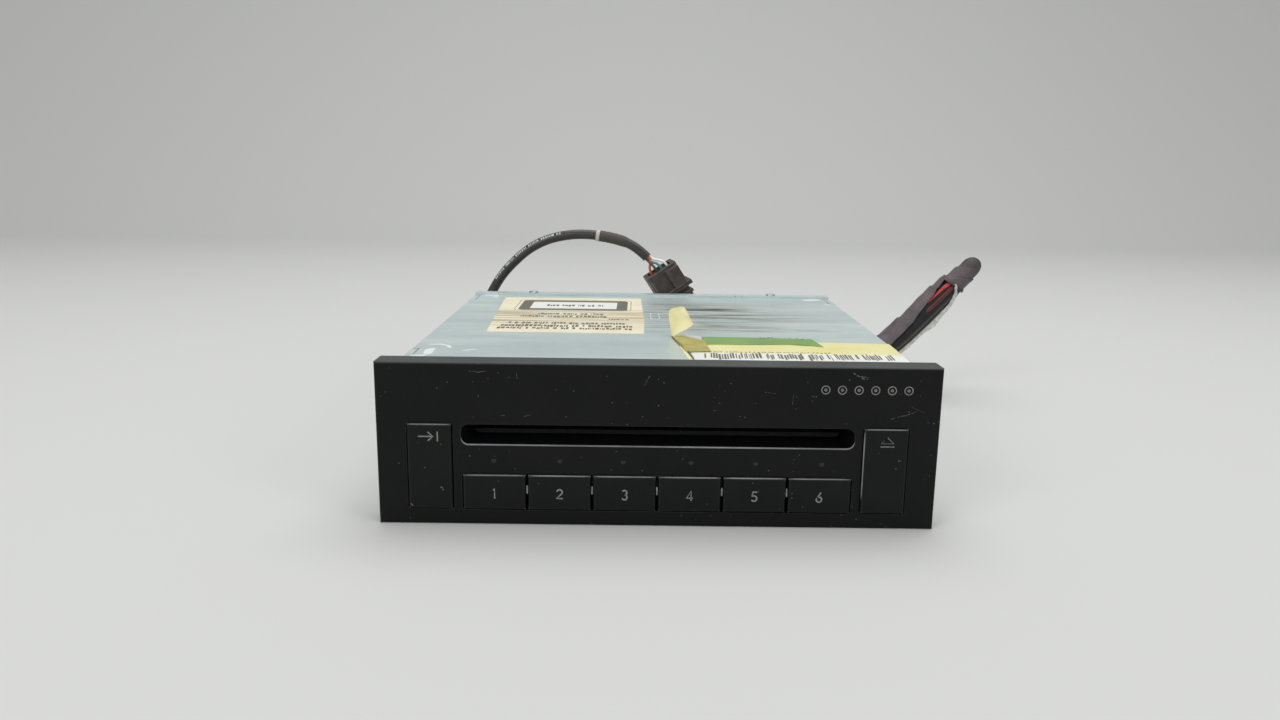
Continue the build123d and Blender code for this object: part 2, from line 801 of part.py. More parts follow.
def lift_motor():
    """Small upright motor, held by a strap to the right side wall."""
    place = lift_motor_place()
    top = lift_gear_z - motor_gap
    radius = inner_wall - place[0] - lift_motor_gap
    can = post(place, (top - lift_motor_length, top), radius)
    strap = block((place[0], inner_wall), (place[1] - 5.0, place[1] + 5.0), (top - 16.0, top - 8.0))
    hole = post(place, (top - 5.0, top + 1.0), motor_shaft + running_clearance)
    return can + strap - hole


def deck_pillars():
    """Fixed pins of the four lift screws and the thicker pillar that the play unit swings on."""
    span = (floor_top, deck_z + deck_sheet)
    pins = [post(place, span, screw_pin) for place in screws.values()]
    return Compound(children=pins + [post(swing_post, span, post_radius)])


def lift_belt():
    """One belt round the four pulleys: the hull of four circles, less the same hull inside it."""
    order = ["front_left", "front_right", "rear_right", "rear_left"]

    def loop(radius):
        outline = None
        for name, following in zip(order, order[1:] + order[:1]):
            start, end = Vector(*screws[name]), Vector(*screws[following])
            along = end - start
            span = Pos(*((start + end) / 2)) * Rot(0, 0, direction(tuple(start), tuple(end)))
            strip = span * Rectangle(along.length, 2 * radius) + Pos(*start) * Circle(radius)
            outline = strip if outline is None else outline + strip
        inside = make_face(Polyline(*[screws[name] for name in order], close=True))
        return outline + inside

    inner = pulley_radius + running_clearance
    band = loop(inner + belt_thickness) - loop(inner)
    return extrude(Pos(0, 0, belt_z) * band, pulley_height)


def deck_plate():
    """Steel plate under the cover that holds the upper ends of the lift pins and the swing post."""
    reach = (front_screw[1] - deck_front, rear_y - 2 * sheet)
    plate = block((-inner_wall, inner_wall), reach, (deck_z, deck_z + deck_sheet))
    plate -= post((0, disc_centre_y), (deck_z - 1, deck_z + 3), tray_inner)
    for side in (-1, 1):
        outer = inner_wall - deck_window_inset
        window = on_side(side, outer - deck_window_width, outer)
        along = tuple(disc_centre_y + offset for offset in deck_window_reach)
        plate -= block(window, along, (deck_z - 1, deck_z + 3))
    for place in screws.values():
        plate -= post(place, (deck_z - 1, deck_z + 3), screw_pin)
    plate -= post(swing_post, (deck_z - 1, deck_z + 3), post_radius)
    return plate


def disc_tray(number):
    """Thin ring that carries the disc by its rim, with a forked ear at each lift screw."""
    centre = (0.0, disc_centre_y)
    ring = Pos(*centre) * Circle(tray_outer)
    ring = ring & (Pos(*centre) * Rectangle(2 * tray_half_width, 3 * tray_outer))
    start = tray_inner - ear_root
    for place in screws.values():
        reach = math.hypot(place[0], place[1] - disc_centre_y)
        outwards = Pos(*centre) * Rot(0, 0, direction(centre, place))
        ring += outwards * Pos((start + reach) / 2, 0) * Rectangle(reach - start, ear_width)
    ring -= Pos(*centre) * Circle(tray_inner)
    for place in screws.values():
        ring -= Pos(*place) * Circle(screw_core + screw_clearance)
    top = tray_heights[number - 1]
    tray = extrude(Pos(0, 0, top - tray_sheet) * ring, tray_sheet)
    rim = Circle(tray_outer) - Circle(disc_radius + rim_clearance)
    rim = rim & (Pos(0, tray_outer / 2 + rim_start) * Rectangle(2 * tray_outer, tray_outer))
    return tray + extrude(Pos(*centre, top) * rim, tray_rim)


# ---------------------------------------------------------------- play unit, parked along the left wall
spindle_place = (swing_post[0], swing_post[1] - swing_radius)
deck_top = play_deck_height + play_deck_thickness
sleeve_z = (floor_top + swing_gear_foot, clamp_z + clamp_thickness)
swing_gear_z = sleeve_z[0]


def along_arm(distance):
    """The y of a point on the parked arm, at a distance from the spindle towards the swing post."""
    return spindle_place[1] + distance


def swing_sleeve():
    """Sleeve that turns on the pillar. It carries the swing gear at its foot and the clamp arm on top."""
    phase = direction(swing_post, swing_motor_place())
    sleeve = post(swing_post, (swing_gear_z, sleeve_z[1]), sleeve_radius)
    sleeve += Pos(*swing_post, swing_gear_z) * gear_blank(swing_teeth, gear_width, phase)
    return sleeve - post(swing_post, (floor_top, deck_z), post_radius + running_clearance)


def clamp_arm():
    """Flat steel arm over the disc, with the hub that its puck turns on."""
    bar = block(
        (swing_post[0] - clamp_width / 2, swing_post[0] + clamp_width / 2),
        (spindle_place[1], swing_post[1]),
        (clamp_z, clamp_z + clamp_thickness),
    )
    bar += post(spindle_place, (clamp_z, clamp_z + clamp_thickness), clamp_width / 2)
    bar += post(swing_post, (clamp_z, clamp_z + clamp_thickness), sleeve_radius + hub_wall)
    bar -= post(swing_post, (clamp_z - 1, clamp_z + 3), sleeve_radius)
    return bar + post(spindle_place, (clamp_z - 0.9, clamp_z), puck_pin)


def clamp_puck():
    """Hollow puck that holds the disc down. The turntable's cone rises into it."""
    top = clamp_z - 0.2
    puck = post(spindle_place, (puck_under, top), puck_radius)
    puck -= post(spindle_place, (puck_under - 1, puck_under + cone_height - 0.9), cone_radius + 0.5)
    return puck - post(spindle_place, (puck_under, clamp_z), puck_pin + running_clearance)


def swing_motor_place():
    reach = pitch_radius(swing_teeth + pinion_teeth)
    angle = math.radians(swing_motor_angle)
    return (swing_post[0] + reach * math.cos(angle), swing_post[1] + reach * math.sin(angle))


def swing_pinion():
    place = swing_motor_place()
    phase = direction(swing_post, place)
    turned = mesh_phase(phase, swing_post, swing_teeth, place, pinion_teeth)
    shaft = post(place, (swing_gear_z - 0.4, swing_gear_z + gear_width + 5.0), motor_shaft)
    return Pos(*place, swing_gear_z) * gear_blank(pinion_teeth, gear_width, turned) + shaft


def swing_motor():
    """Upright motor above its pinion, hung from the deck plate by a stem."""
    place = swing_motor_place()
    base = swing_gear_z + gear_width + motor_gap
    can = post(place, (base, base + swing_motor_length), swing_motor_radius)
    hanger = post(place, (base + swing_motor_length, deck_z), hanger_radius)
    hole = post(place, (base - 1.0, base + 5.5), motor_shaft + running_clearance)
    return can + hanger - hole


def play_deck():
    """Base plate of the play unit, with its hub, the sled's window, and a lug for the rods at each end."""
    x, y = swing_post
    half, neck = arm_half_width, neck_half_width
    outline = [
        (half, spindle_place[1]),
        (half, y - neck_start),
        (neck, y - neck_end),
        (neck, y),
    ]
    corners = [(x + dx, py) for dx, py in outline] + [(x - dx, py) for dx, py in reversed(outline)]
    plate = Pos(0, 0, play_deck_height) * make_face(Polyline(*corners, close=True))
    deck = extrude(plate, play_deck_thickness)
    deck += post(spindle_place, (play_deck_height, deck_top), arm_half_width)
    window = window_span()
    deck -= block(span(x, sled_width + 2 * window_gap), window, (play_deck_height - 1, deck_top + 1))
    deck -= post(spindle_place, (play_deck_height - 1, deck_top + 1), spindle_opening)
    deck += post(swing_post, (play_deck_height - hub_drop, deck_top), sleeve_radius + hub_wall)
    bore = sleeve_radius + running_clearance
    deck -= post(swing_post, (play_deck_height - hub_drop - 1, deck_top + 1), bore)
    for lug_y, inward in zip(window, (-1, 1)):
        lug = tuple(sorted((lug_y, lug_y + inward * lug_thickness)))
        deck += block(span(x, sled_width), lug, (play_deck_height - sled_height, play_deck_height))
    for side, radius in ((-1, rod_radius), (1, rod_radius + running_clearance)):
        deck -= bar_y(x + side * rod_offset, (window[0] - 3, window[1] + 3), rod_height(), radius)
    return deck


def rod_height():
    return play_deck_height - sled_height / 2


def window_span():
    """The two ends of the sled's window: past the turntable, and past the sled at its outermost track."""
    last = sled_first + sled_travel + sled_length / 2 + window_gap
    return (along_arm(turntable_radius + lug_gap), along_arm(last))


def rod_span():
    first, last = window_span()
    return (first - lug_thickness, last + lug_thickness)


def guide_rod():
    return bar_y(swing_post[0] - rod_offset, rod_span(), rod_height(), rod_radius)


def feed_screw():
    """Sled feed screw in the deck's two lugs, running into the feed motor. Its fine thread is left off."""
    span = rod_span()
    return bar_y(swing_post[0] + rod_offset, (span[0], span[1] + 3.0), rod_height(), rod_radius)


def feed_motor():
    start = rod_span()[1]
    x = swing_post[0] + rod_offset
    can = bar_y(x, (start, start + feed_motor_length), rod_height(), sled_height / 2)
    return can - bar_y(x, (start - 1, start + 3.5), rod_height(), rod_radius + running_clearance)


def spindle_motor():
    top = play_deck_height
    can = post(spindle_place, (top - spindle_height, top), spindle_radius)
    hole = post(spindle_place, (top - 3.0, top + 1.0), spindle_shaft + running_clearance)
    return can - hole


def turntable():
    """Flange that the disc sits on, with a centring cone and a shaft down into the spindle motor."""
    flange = post(spindle_place, (turntable_top - turntable_thickness, turntable_top), turntable_radius)
    cone_middle = Pos(*spindle_place, turntable_top + cone_height / 2)
    cone = cone_middle * Cone(cone_radius, cone_radius - cone_taper, cone_height)
    shaft = post(spindle_place, (play_deck_height - 2.5, turntable_top), spindle_shaft)
    return flange + cone + shaft


def pickup_sled():
    """Carriage on the guide rod and feed screw, and the lens in its turret as a solid of its own."""
    x = swing_post[0]
    middle = along_arm(sled_first)
    rest = span(middle, sled_length)
    body = block(span(x, sled_width), rest, (play_deck_height - sled_height, play_deck_height + 0.6))
    body += post((x, middle), (play_deck_height, deck_top + 0.4), turret_radius)
    for side in (-1, 1):
        bore = rod_radius + running_clearance
        body -= bar_y(x + side * rod_offset, (rest[0] - 1, rest[1] + 1), rod_height(), bore)
    seat = deck_top - 0.8
    body -= post((x, middle), (seat, deck_top + 1), lens_radius)
    return Compound(children=[body, post((x, middle), (seat, seat + lens_height), lens_radius)])


# ---------------------------------------------------------------- main board, socket and wiring
def main_circuit_board():
    along = (disc_centre_y + board_front, rear_y - board_rear_gap)
    return block(board_x, along, (floor_top + board_foot_gap, deck_z - board_top_gap))


def board_components():
    """Processor, driver, regulator and capacitors on the board's inner face."""
    face = board_x[0]
    chips = [  # length along Y, height, thickness, and its middle as y and z from the board's corner
        (16.0, 16.0, 2.2, 16.0, 17.4),
        (10.0, 14.0, 2.0, 37.0, 22.4),
        (12.0, 8.0, 3.4, 56.0, 11.4),
        (8.0, 10.0, 1.8, 72.0, 30.4),
    ]
    capacitors = [(54.0, 27.4), (62.5, 31.4), (84.0, 29.4)]
    corner_y, corner_z = disc_centre_y + board_front, floor_top + board_foot_gap
    group = []
    for length, height, thickness, along, up in chips:
        y, z = corner_y + along, corner_z + up
        group.append(block((face - thickness, face), span(y, length), span(z, height)))
    for along, up in capacitors:
        reach = (face - capacitor_length, face)
        group.append(bar_x(reach, corner_y + along, corner_z + up, capacitor_radius))
    return Compound(children=group)


def rear_socket():
    """Shrouded header, open to the rear, with an inner wall that its pins pass through."""
    shroud = block(socket_x, (rear_y - socket_depth, rear_y), socket_z)
    inner_x = (socket_x[0] + socket_wall, socket_x[1] - socket_wall)
    inner_z = (socket_z[0] + socket_wall, socket_z[1] - socket_wall)
    shroud -= block(inner_x, (rear_y - socket_depth + socket_base, rear_y + 1), inner_z)
    for x, z in pin_places():
        shroud -= block(span(x, pin_side), (rear_y - socket_depth - 1, rear_y), span(z, pin_side))
    join = (socket_x[1], board_x[0])
    return shroud + block(join, (rear_y - socket_depth, rear_y - 4.0), socket_z)


def pin_places():
    middle_x, middle_z = sum(socket_x) / 2, sum(socket_z) / 2
    columns = [middle_x + (n - (pin_columns - 1) / 2) * pin_pitch for n in range(pin_columns)]
    rows = [middle_z + (n - (pin_rows - 1) / 2) * 2 * pin_pitch for n in range(pin_rows)]
    return [(x, z) for z in rows for x in columns]


def socket_pins():
    start = rear_y - socket_depth
    along = (start - pin_tail, start + pin_reach)
    return Compound(children=[block(span(x, pin_side), along, span(z, pin_side)) for x, z in pin_places()])


def harness_plug():
    """Plug of the wiring, seated in the rear socket, with a hood that both cables leave sideways."""
    margin = socket_wall + plug_gap
    inner_x = (socket_x[0] + margin, socket_x[1] - margin)
    inner_z = (socket_z[0] + margin, socket_z[1] - margin)
    nose = block(inner_x, (rear_y - plug_reach, plug_y[0] + 1.0), inner_z)
    nose = chamfer(nose.faces().sort_by(Axis.Y)[0].edges(), 0.6)
    hood = block(inner_x, plug_y, (inner_z[0] - 1.4, inner_z[1]))
    hood = fillet(hood.edges().filter_by(Axis.Z), 2.0)
    collar = block((inner_x[0] - 1.2, inner_x[1] + 1.2), (plug_y[0] - 2.6, plug_y[0] - 0.6), inner_z)
    middle_x = sum(inner_x) / 2
    latch = block(span(middle_x, 8.0), (rear_y + 0.4, plug_y[1] - 4), (inner_z[1], inner_z[1] + 1.6))
    plug = nose + hood + collar + latch
    bore = pin_side + 2 * pin_clearance
    for x, z in pin_places():
        plug -= block(span(x, bore), (rear_y - plug_reach - 1, rear_y - 5.0), span(z, bore))
    return plug


def power_bundle():
    return tube(bundle_route, bundle_diameter)


def signal_cable():
    return tube(cable_route, cable_diameter)


def connector_location():
    return Pos(*connector_centre) * Rot(0, 0, connector_yaw) * Rot(0, connector_lean, 0)


def loose_connector():
    """Multi-pin connector on the signal cable: wires enter its upper end, the other plugs into a socket."""
    width, depth, length = connector_body
    middle = connector_wire_face - length / 2
    body = Pos(0, 0, middle) * Box(width, depth, length)
    body = chamfer(body.edges().filter_by(Axis.Z), 0.8)
    foot = connector_wire_face - length
    flange = Pos(0, 0, foot - 1.0) * Box(width + 4.0, depth + 3.0, 2.0)
    nose = Pos(0, 0, foot - 6.0) * Box(width - 1.0, depth - 1.6, 8.0)
    collar = Pos(0, 0, foot - 5.6) * Box(width + 1.0, depth + 0.2, 1.4)
    key_place = Pos(width / 2 - 3.6, -depth / 2 - 0.5, middle - 0.8)
    key_block = key_place * Box(6.6, 1.0 + depth / 4, length - 1.6)
    latch = Pos(0, depth / 2 + 0.6, middle - 1.0) * Box(6.0, 1.4, length - 2.0)
    shape = body + flange + nose + collar + key_block + latch
    shape -= Pos(0, 0, foot - 8.0) * Box(width - 4.0, depth - 4.6, 8.0)
    pocket = Pos(0, 0, connector_wire_face) * Box(width - 4.0, depth - 4.0, 2 * wire_pocket)
    return connector_location() * (shape - pocket)


def connector_wires():
    """Four wires from the end of the cable's jacket to the floor of the connector's pocket."""
    end, before = Vector(*cable_route[-1]), Vector(*cable_route[-2])
    jacket = Plane(origin=end, z_dir=end - before)
    landing_height = connector_wire_face - wire_pocket
    group = []
    for index in range(wire_count):
        angle = math.radians(wire_twist + index * 360 / wire_count)
        out = Vector(math.cos(angle), math.sin(angle), 0) * wire_ring
        first = jacket.from_local_coords(out)
        second = jacket.from_local_coords(out + Vector(0, 0, wire_stub))
        landing_x = (index - (wire_count - 1) / 2) * wire_pitch
        landing_y = wire_pitch / 3 * (-1) ** index
        last, third = [
            (connector_location() * Pos(landing_x, landing_y, landing_height + step)).position
            for step in (0, wire_stub + wire_pocket)
        ]
        group.append(tube([first, second, third, last], wire_diameter))
    return Compound(children=group)


# ---------------------------------------------------------------- build
def all_parts():
    """Every sub-part by its node's name."""
    parts = {
        "front_bezel": front_bezel(),
        "load_key": side_key(-1),
        "eject_key": side_key(1),
        "key_switches": key_switches(),
        "front_circuit_board": front_circuit_board(),
        "dust_felt": dust_felt(),
        "lower_case": lower_case(),
        "top_cover": top_cover(),
        "rear_panel": rear_panel(),
        "case_screws": case_screws(),
        "roller_frame": roller_frame(),
        "roller_shaft": roller_shaft_rod(),
        "roller_sleeves": roller_sleeves(),
        "roller_gear": roller_gear(),
        "loading_idler": loading_idler(),
        "loading_pinion": loading_pinion(),
        "loading_motor": loading_motor(),
        "disc_guide": disc_guide(),
        "lift_pinion": lift_pinion(),
        "lift_motor": lift_motor(),
        "deck_pillars": deck_pillars(),
        "lift_belt": lift_belt(),
        "deck_plate": deck_plate(),
        "swing_sleeve": swing_sleeve(),
        "clamp_arm": clamp_arm(),
        "clamp_puck": clamp_puck(),
        "swing_pinion": swing_pinion(),
        "swing_motor": swing_motor(),
        "play_deck": play_deck(),
        "guide_rod": guide_rod(),
        "feed_screw": feed_screw(),
        "feed_motor": feed_motor(),
        "spindle_motor": spindle_motor(),
        "turntable": turntable(),
        "pickup_sled": pickup_sled(),
        "main_circuit_board": main_circuit_board(),
        "board_components": board_components(),
        "rear_socket": rear_socket(),
        "socket_pins": socket_pins(),
        "harness_plug": harness_plug(),
        "power_bundle": power_bundle(),
        "signal_cable": signal_cable(),
        "loose_connector": loose_connector(),
        "connector_wires": connector_wires(),
    }
    for number in range(1, disc_key_count + 1):
        parts[f"disc_key_{number}"] = disc_key(number)
    for number in range(1, len(tray_heights) + 1):
        parts[f"disc_tray_{number}"] = disc_tray(number)
    for name in screws:
        parts[f"lift_screw_{name}"] = lift_screw(name)
    return parts


def main():
    os.makedirs("parts", exist_ok=True)
    for name, shape in all_parts().items():
        export_step(shape, f"parts/{name}.step")
    print(f"swing radius {swing_radius:.2f}, swing angle {swing_angle:.2f}")


main()
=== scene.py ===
import math
import bmesh
import bpy
import numpy as np
from mathutils import Matrix


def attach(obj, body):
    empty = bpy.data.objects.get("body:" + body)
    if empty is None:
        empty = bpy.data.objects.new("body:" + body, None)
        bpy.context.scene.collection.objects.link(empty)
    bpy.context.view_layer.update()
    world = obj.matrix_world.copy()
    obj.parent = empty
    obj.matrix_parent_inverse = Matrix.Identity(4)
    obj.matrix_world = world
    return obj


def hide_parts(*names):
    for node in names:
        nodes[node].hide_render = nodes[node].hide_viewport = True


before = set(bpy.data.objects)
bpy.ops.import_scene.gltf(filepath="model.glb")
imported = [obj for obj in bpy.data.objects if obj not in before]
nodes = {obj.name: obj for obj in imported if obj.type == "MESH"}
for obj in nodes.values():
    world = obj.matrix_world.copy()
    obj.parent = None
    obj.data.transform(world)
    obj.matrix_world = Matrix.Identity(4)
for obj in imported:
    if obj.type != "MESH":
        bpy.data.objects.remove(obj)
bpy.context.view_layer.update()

mm = 0.001
scene = bpy.context.scene


# ---- camera, at the photograph's viewing angle
camera = {
    "place": (-7.47, -399.39, 122.77),  # mm
    "turns": (-0.213, 78.154, 0.780),  # degrees about Z, X and Z
    "lens": 27.174,
    "sensor": 36.0,
}
cameraData = bpy.data.cameras.new("camera")
cameraData.lens = camera["lens"]
cameraData.sensor_width = camera["sensor"]
cameraData.clip_start = 0.01
cameraObject = bpy.data.objects.new("camera", cameraData)
scene.collection.objects.link(cameraObject)
turnOut, turnUp, turnIn = [math.radians(angle) for angle in camera["turns"]]
cameraObject.matrix_world = (
    Matrix.Translation([value * mm for value in camera["place"]])
    @ Matrix.Rotation(turnOut, 4, "Z")
    @ Matrix.Rotation(turnUp, 4, "X")
    @ Matrix.Rotation(turnIn, 4, "Z")
)
scene.camera = cameraObject
print("camera ready")


# ---- shapes: every shape is (points in mm, quads, caps, uv in mm)
def gridShape(points, wrap=False, caps=False, uv=None):
    # rows run along the first parameter, columns across; wrap joins the last column to the first,
    # and caps close the two end rows with one face each
    rows, columns = points.shape[:2]
    index = np.arange(rows * columns).reshape(rows, columns)
    ends = [index[0][::-1].tolist(), index[-1].tolist()] if caps else []
    if wrap:
        index = np.concatenate([index, index[:, :1]], axis=1)
    quads = np.stack([index[:-1, :-1], index[:-1, 1:], index[1:, 1:], index[1:, :-1]], axis=-1)
    uv = np.zeros((rows, columns, 2)) if uv is None else uv
    return points.reshape(-1, 3), quads.reshape(-1, 4), ends, uv.reshape(-1, 2)


def slabShape(top, thickness):
    # a sheet: its top is the given grid, and its underside the same grid moved down its normals
    normal = np.cross(np.gradient(top, axis=0), np.gradient(top, axis=1))
    normal /= np.linalg.norm(normal, axis=2, keepdims=True) + 1e-12
    normal *= np.sign(normal[..., 2:3].mean() + 1e-9)
    under = top - normal * thickness
    return gridShape(np.concatenate([top, under[:, ::-1]], axis=1), wrap=True, caps=True)


def aroundLine(line, angle):
    # unit directions square to the line, at angles in radians from the side that faces the front;
    # the angles come in one row for all points or one row for each
    tangent = np.gradient(line, axis=0)
    tangent /= np.linalg.norm(tangent, axis=1, keepdims=True)
    facing = np.array([0.0, -1.0, 0.0])
    front = facing - tangent * (tangent @ facing)[:, None]
    front /= np.linalg.norm(front, axis=1, keepdims=True)
    up = np.cross(front, tangent)
    return front[:, None] * np.cos(angle)[..., None] + up[:, None] * np.sin(angle)[..., None]


def tubeShape(line, radius, across=20):
    # circle of the given radius, which may change along the way, carried along the line
    angle = np.linspace(0, 2 * np.pi, across, endpoint=False)[None]
    ring = aroundLine(line, angle) * np.reshape(radius, (-1, 1, 1))
    return gridShape(line[:, None] + ring, wrap=True, caps=True)


def resample(line, stations, wanted):
    # the line's points at the wanted stations
    return np.stack([np.interp(wanted, stations, column) for column in line.T], axis=1)


def evenLine(line, count):
    # the same line with points at equal distances
    line = np.asarray(line, float)
    distance = np.concatenate([[0.0], np.cumsum(np.linalg.norm(np.diff(line, axis=0), axis=1))])
    return resample(line, distance, np.linspace(0, distance[-1], count))


def strokeShape(path, width, place, thickness=0.03, facing="front"):
    # a pen stroke: a flat bar, of one width or one for each point, mitred along a path;
    # "front" lies on the face y = place, "top" on the surface z = place
    path = np.asarray(path, float)
    direction = np.gradient(path, axis=0)
    if len(path) > 2:
        steps = np.diff(path, axis=0)
        steps /= np.linalg.norm(steps, axis=1, keepdims=True)
        direction[1:-1] = steps[:-1] + steps[1:]
    direction /= np.linalg.norm(direction, axis=1, keepdims=True)
    side = direction[:, ::-1] * (-1, 1) * np.reshape(width, (-1, 1)) / 2
    left, right = path + side, path - side
    axis, rise = (1, -thickness) if facing == "front" else (2, thickness)
    corners = ((left, rise), (right, rise), (right, -rise), (left, -rise))
    ring = [np.insert(flat, axis, place + height, axis=1) for flat, height in corners]
    return gridShape(np.stack(ring, axis=1), wrap=True, caps=True)


def arcPath(centre, radius, first, last, count=18):
    # points of a circle between two angles in degrees
    angle = np.radians(np.linspace(first, last, count))
    return np.stack([centre[0] + radius * np.cos(angle), centre[1] + radius * np.sin(angle)], axis=1)


def ruledSheet(left, right, height, thickness, columns=40, rows=12, wave=0.0):
    # the straight surface between two lines, which are given by a few points, with a slow ripple
    part = np.linspace(0, 1, rows)[:, None, None]
    flat = evenLine(left, columns)[None] * (1 - part) + evenLine(right, columns)[None] * part
    ripple = wave * (np.sin(flat[..., :1] * 0.21 + flat[..., 1:] * 0.37) + 1) / 2
    return slabShape(np.concatenate([flat, height + thickness + ripple], axis=2), thickness)


def makePiece(name, shapes, material, body="root", smooth=True, closed=True):
    # stacks the shapes into one mesh in metres, and lets the piece ride on its body
    starts = np.cumsum([0] + [len(shape[0]) for shape in shapes])
    points, uv = [np.concatenate([shape[part] for shape in shapes]) * mm for part in (0, 3)]
    placed = list(zip(shapes, starts))
    quads = np.concatenate([shape[1] + start for shape, start in placed])
    caps = [(np.array(cap) + start).tolist() for shape, start in placed for cap in shape[2]]
    mesh = bpy.data.meshes.new(name)
    mesh.from_pydata(points.tolist(), [], quads.tolist() + caps)
    corner = np.empty(len(mesh.loops), int)
    mesh.loops.foreach_get("vertex_index", corner)
    layer = mesh.uv_layers.new(name="surface")
    layer.data.foreach_set("uv", uv[corner].astype(np.float32).ravel())
    if closed:
        work = bmesh.new()
        work.from_mesh(mesh)
        bmesh.ops.recalc_face_normals(work, faces=work.faces)
        work.to_mesh(mesh)
        work.free()
    mesh.polygons.foreach_set("use_smooth", [smooth] * len(mesh.polygons))
    piece = bpy.data.objects.new(name, mesh)
    scene.collection.objects.link(piece)
    mesh.materials.append(material)
    if smooth:
        mesh.set_sharp_from_angle(angle=math.radians(35))
    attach(piece, body)
    return piece


# ---- materials
def linear(hexColour):
    # sRGB hex to the linear colour that Blender's sockets take
    values = [int(hexColour[place : place + 2], 16) / 255 for place in (1, 3, 5)]
    return [v / 12.92 if v <= 0.04045 else ((v + 0.055) / 1.055) ** 2.4 for v in values] + [1.0]


def addNode(tree, kind, values=None, sources=None, out=0):
    # one node with its settings or socket values, and its links by socket name or number; it gives
    # back the output of that name or number, or the node itself for None
    node = tree.nodes.new("ShaderNode" + kind)
    for key, value in (values or {}).items():
        if isinstance(key, int) or key in node.inputs:
            node.inputs[key].default_value = value
        else:
            setattr(node, key, value)
    for key, source in (sources or {}).items():
        tree.links.new(source, node.inputs[key])
    return node if out is None else node.outputs[out]


def makeMaterial(
    name, colour, second, patch, rough, grain=0.3, bump=0.1, gloss=0.5, metallic=0.0, ior=1.5,
    stretch=(1.0, 1.0, 1.0), edge=None, rubbed=None, paintedTopSheen=None, dust=None,
):
    # two colours in patches; rubbed edges, a painted highlight that lightens faces that look up, and
    # dust specks over them; roughness that follows the patches, and a fine grain; edges are rounded for
    # the light;
    # sizes are in mm
    material = bpy.data.materials.new(name)
    material.use_nodes = True
    tree = material.node_tree
    shader = tree.nodes["Principled BSDF"]
    shader.inputs["Metallic"].default_value = metallic
    shader.inputs["IOR"].default_value = ior
    shader.inputs["Specular IOR Level"].default_value = gloss
    place = addNode(tree, "TexCoord", out="Object")
    stretched = addNode(tree, "Mapping", {"Scale": stretch}, {"Vector": place})
    patches = {"Scale": 1000 / patch, "Detail": 5.0, "Roughness": 0.6}
    patches = addNode(tree, "TexNoise", patches, {"Vector": stretched})
    spread = addNode(tree, "MapRange", {"From Min": 0.35, "From Max": 0.65}, {"Value": patches})
    pair = {"data_type": "RGBA", 6: linear(colour), 7: linear(second)}
    base = addNode(tree, "Mix", pair, {0: spread}, out=2)
    layers = []  # colours laid over the base, each with the two factors of its share
    if edge:
        rounded = addNode(tree, "Bevel", {"samples": 4, "Radius": edge * mm})
    if rubbed:
        flat = addNode(tree, "NewGeometry", out="True Normal")
        product = {"operation": "DOT_PRODUCT"}
        turn = addNode(tree, "VectorMath", product, {0: rounded, 1: flat}, out="Value")
        rub = {"From Min": 0.995, "From Max": 0.9, "To Max": rubbed[1]}
        rub = addNode(tree, "MapRange", rub, {"Value": turn})
        uneven = addNode(tree, "MapRange", {"To Min": 0.35}, {"Value": spread})
        layers.append((rubbed[0], rub, uneven))
    # painted highlight: faces that look up, above a given height, are lightened towards the given
    # colour
    if paintedTopSheen:
        sheenColour, sheenShare, sheenFrom = paintedTopSheen
        upward = addNode(tree, "NewGeometry", out="Normal")
        upward = addNode(tree, "SeparateXYZ", {}, {0: upward}, out="Z")
        upLit = {"From Min": 0.4, "From Max": 1.0, "To Max": sheenShare}
        upLit = addNode(tree, "MapRange", upLit, {"Value": upward})
        height = addNode(tree, "SeparateXYZ", {}, {0: place}, out="Z")
        above = addNode(tree, "Math", {"operation": "GREATER_THAN", 1: sheenFrom * mm}, {0: height})
        layers.append((sheenColour, upLit, above))
    if dust:
        dustColour, dustSpacing, dustShare = dust
        cells = addNode(tree, "TexVoronoi", {"Scale": 1000 / dustSpacing}, {"Vector": place}, out=None)
        speck = {"From Min": 0.16, "From Max": 0.08}
        speck = addNode(tree, "MapRange", speck, {"Value": cells.outputs["Distance"]})
        pick = addNode(tree, "SeparateColor", {}, {0: cells.outputs["Color"]})
        share = {"From Min": 1 - dustShare, "From Max": 1.0, "To Max": 0.75}
        chosen = addNode(tree, "MapRange", share, {"Value": pick})
        layers.append((dustColour, speck, chosen))
    for over, amount, where in layers:
        share = addNode(tree, "Math", {"operation": "MULTIPLY"}, {0: amount, 1: where})
        over = {"data_type": "RGBA", 7: linear(over)}
        base = addNode(tree, "Mix", over, {0: share, 6: base}, out=2)
    tree.links.new(base, shader.inputs["Base Color"])
    low, high = rough
    roughness = addNode(tree, "MapRange", {"To Min": low, "To Max": high}, {"Value": spread})
    tree.links.new(roughness, shader.inputs["Roughness"])
    grains = addNode(tree, "TexNoise", {"Scale": 1000 / grain, "Detail": 2.0}, {"Vector": stretched})
    relief = {"Strength": bump, "Distance": grain * 0.25 * mm}
    relief = addNode(tree, "Bump", relief, {"Height": grains}, out=None)
    if edge:
        tree.links.new(rounded, relief.inputs["Normal"])
    tree.links.new(relief.outputs[0], shader.inputs["Normal"])
    return material


def openMaterial(material):
    # what is needed to add to a made material: tree, shader, base colour and place on the part
    tree = material.node_tree
    shader = tree.nodes["Principled BSDF"]
    colour = shader.inputs["Base Color"].links[0].from_socket
    return tree, shader, colour, addNode(tree, "TexCoord", out="Object")


# moulded ABS with a fine spark-eroded grain: soft broad shine, dust in the grain, pale rubbed edges,
# and upward faces near the top lightened grey-green as a painted reflection
mouldedAbs = makeMaterial(
    "mouldedAbs", colour="#0d0d0e", second="#090a0b", patch=26.0, rough=(0.38, 0.52), grain=0.35,
    bump=0.35, gloss=0.18, edge=0.35, rubbed=("#6f7173", 0.4), paintedTopSheen=("#7c8581", 0.24, 50.0),
    dust=("#6c6d6c", 1.7, 0.22))
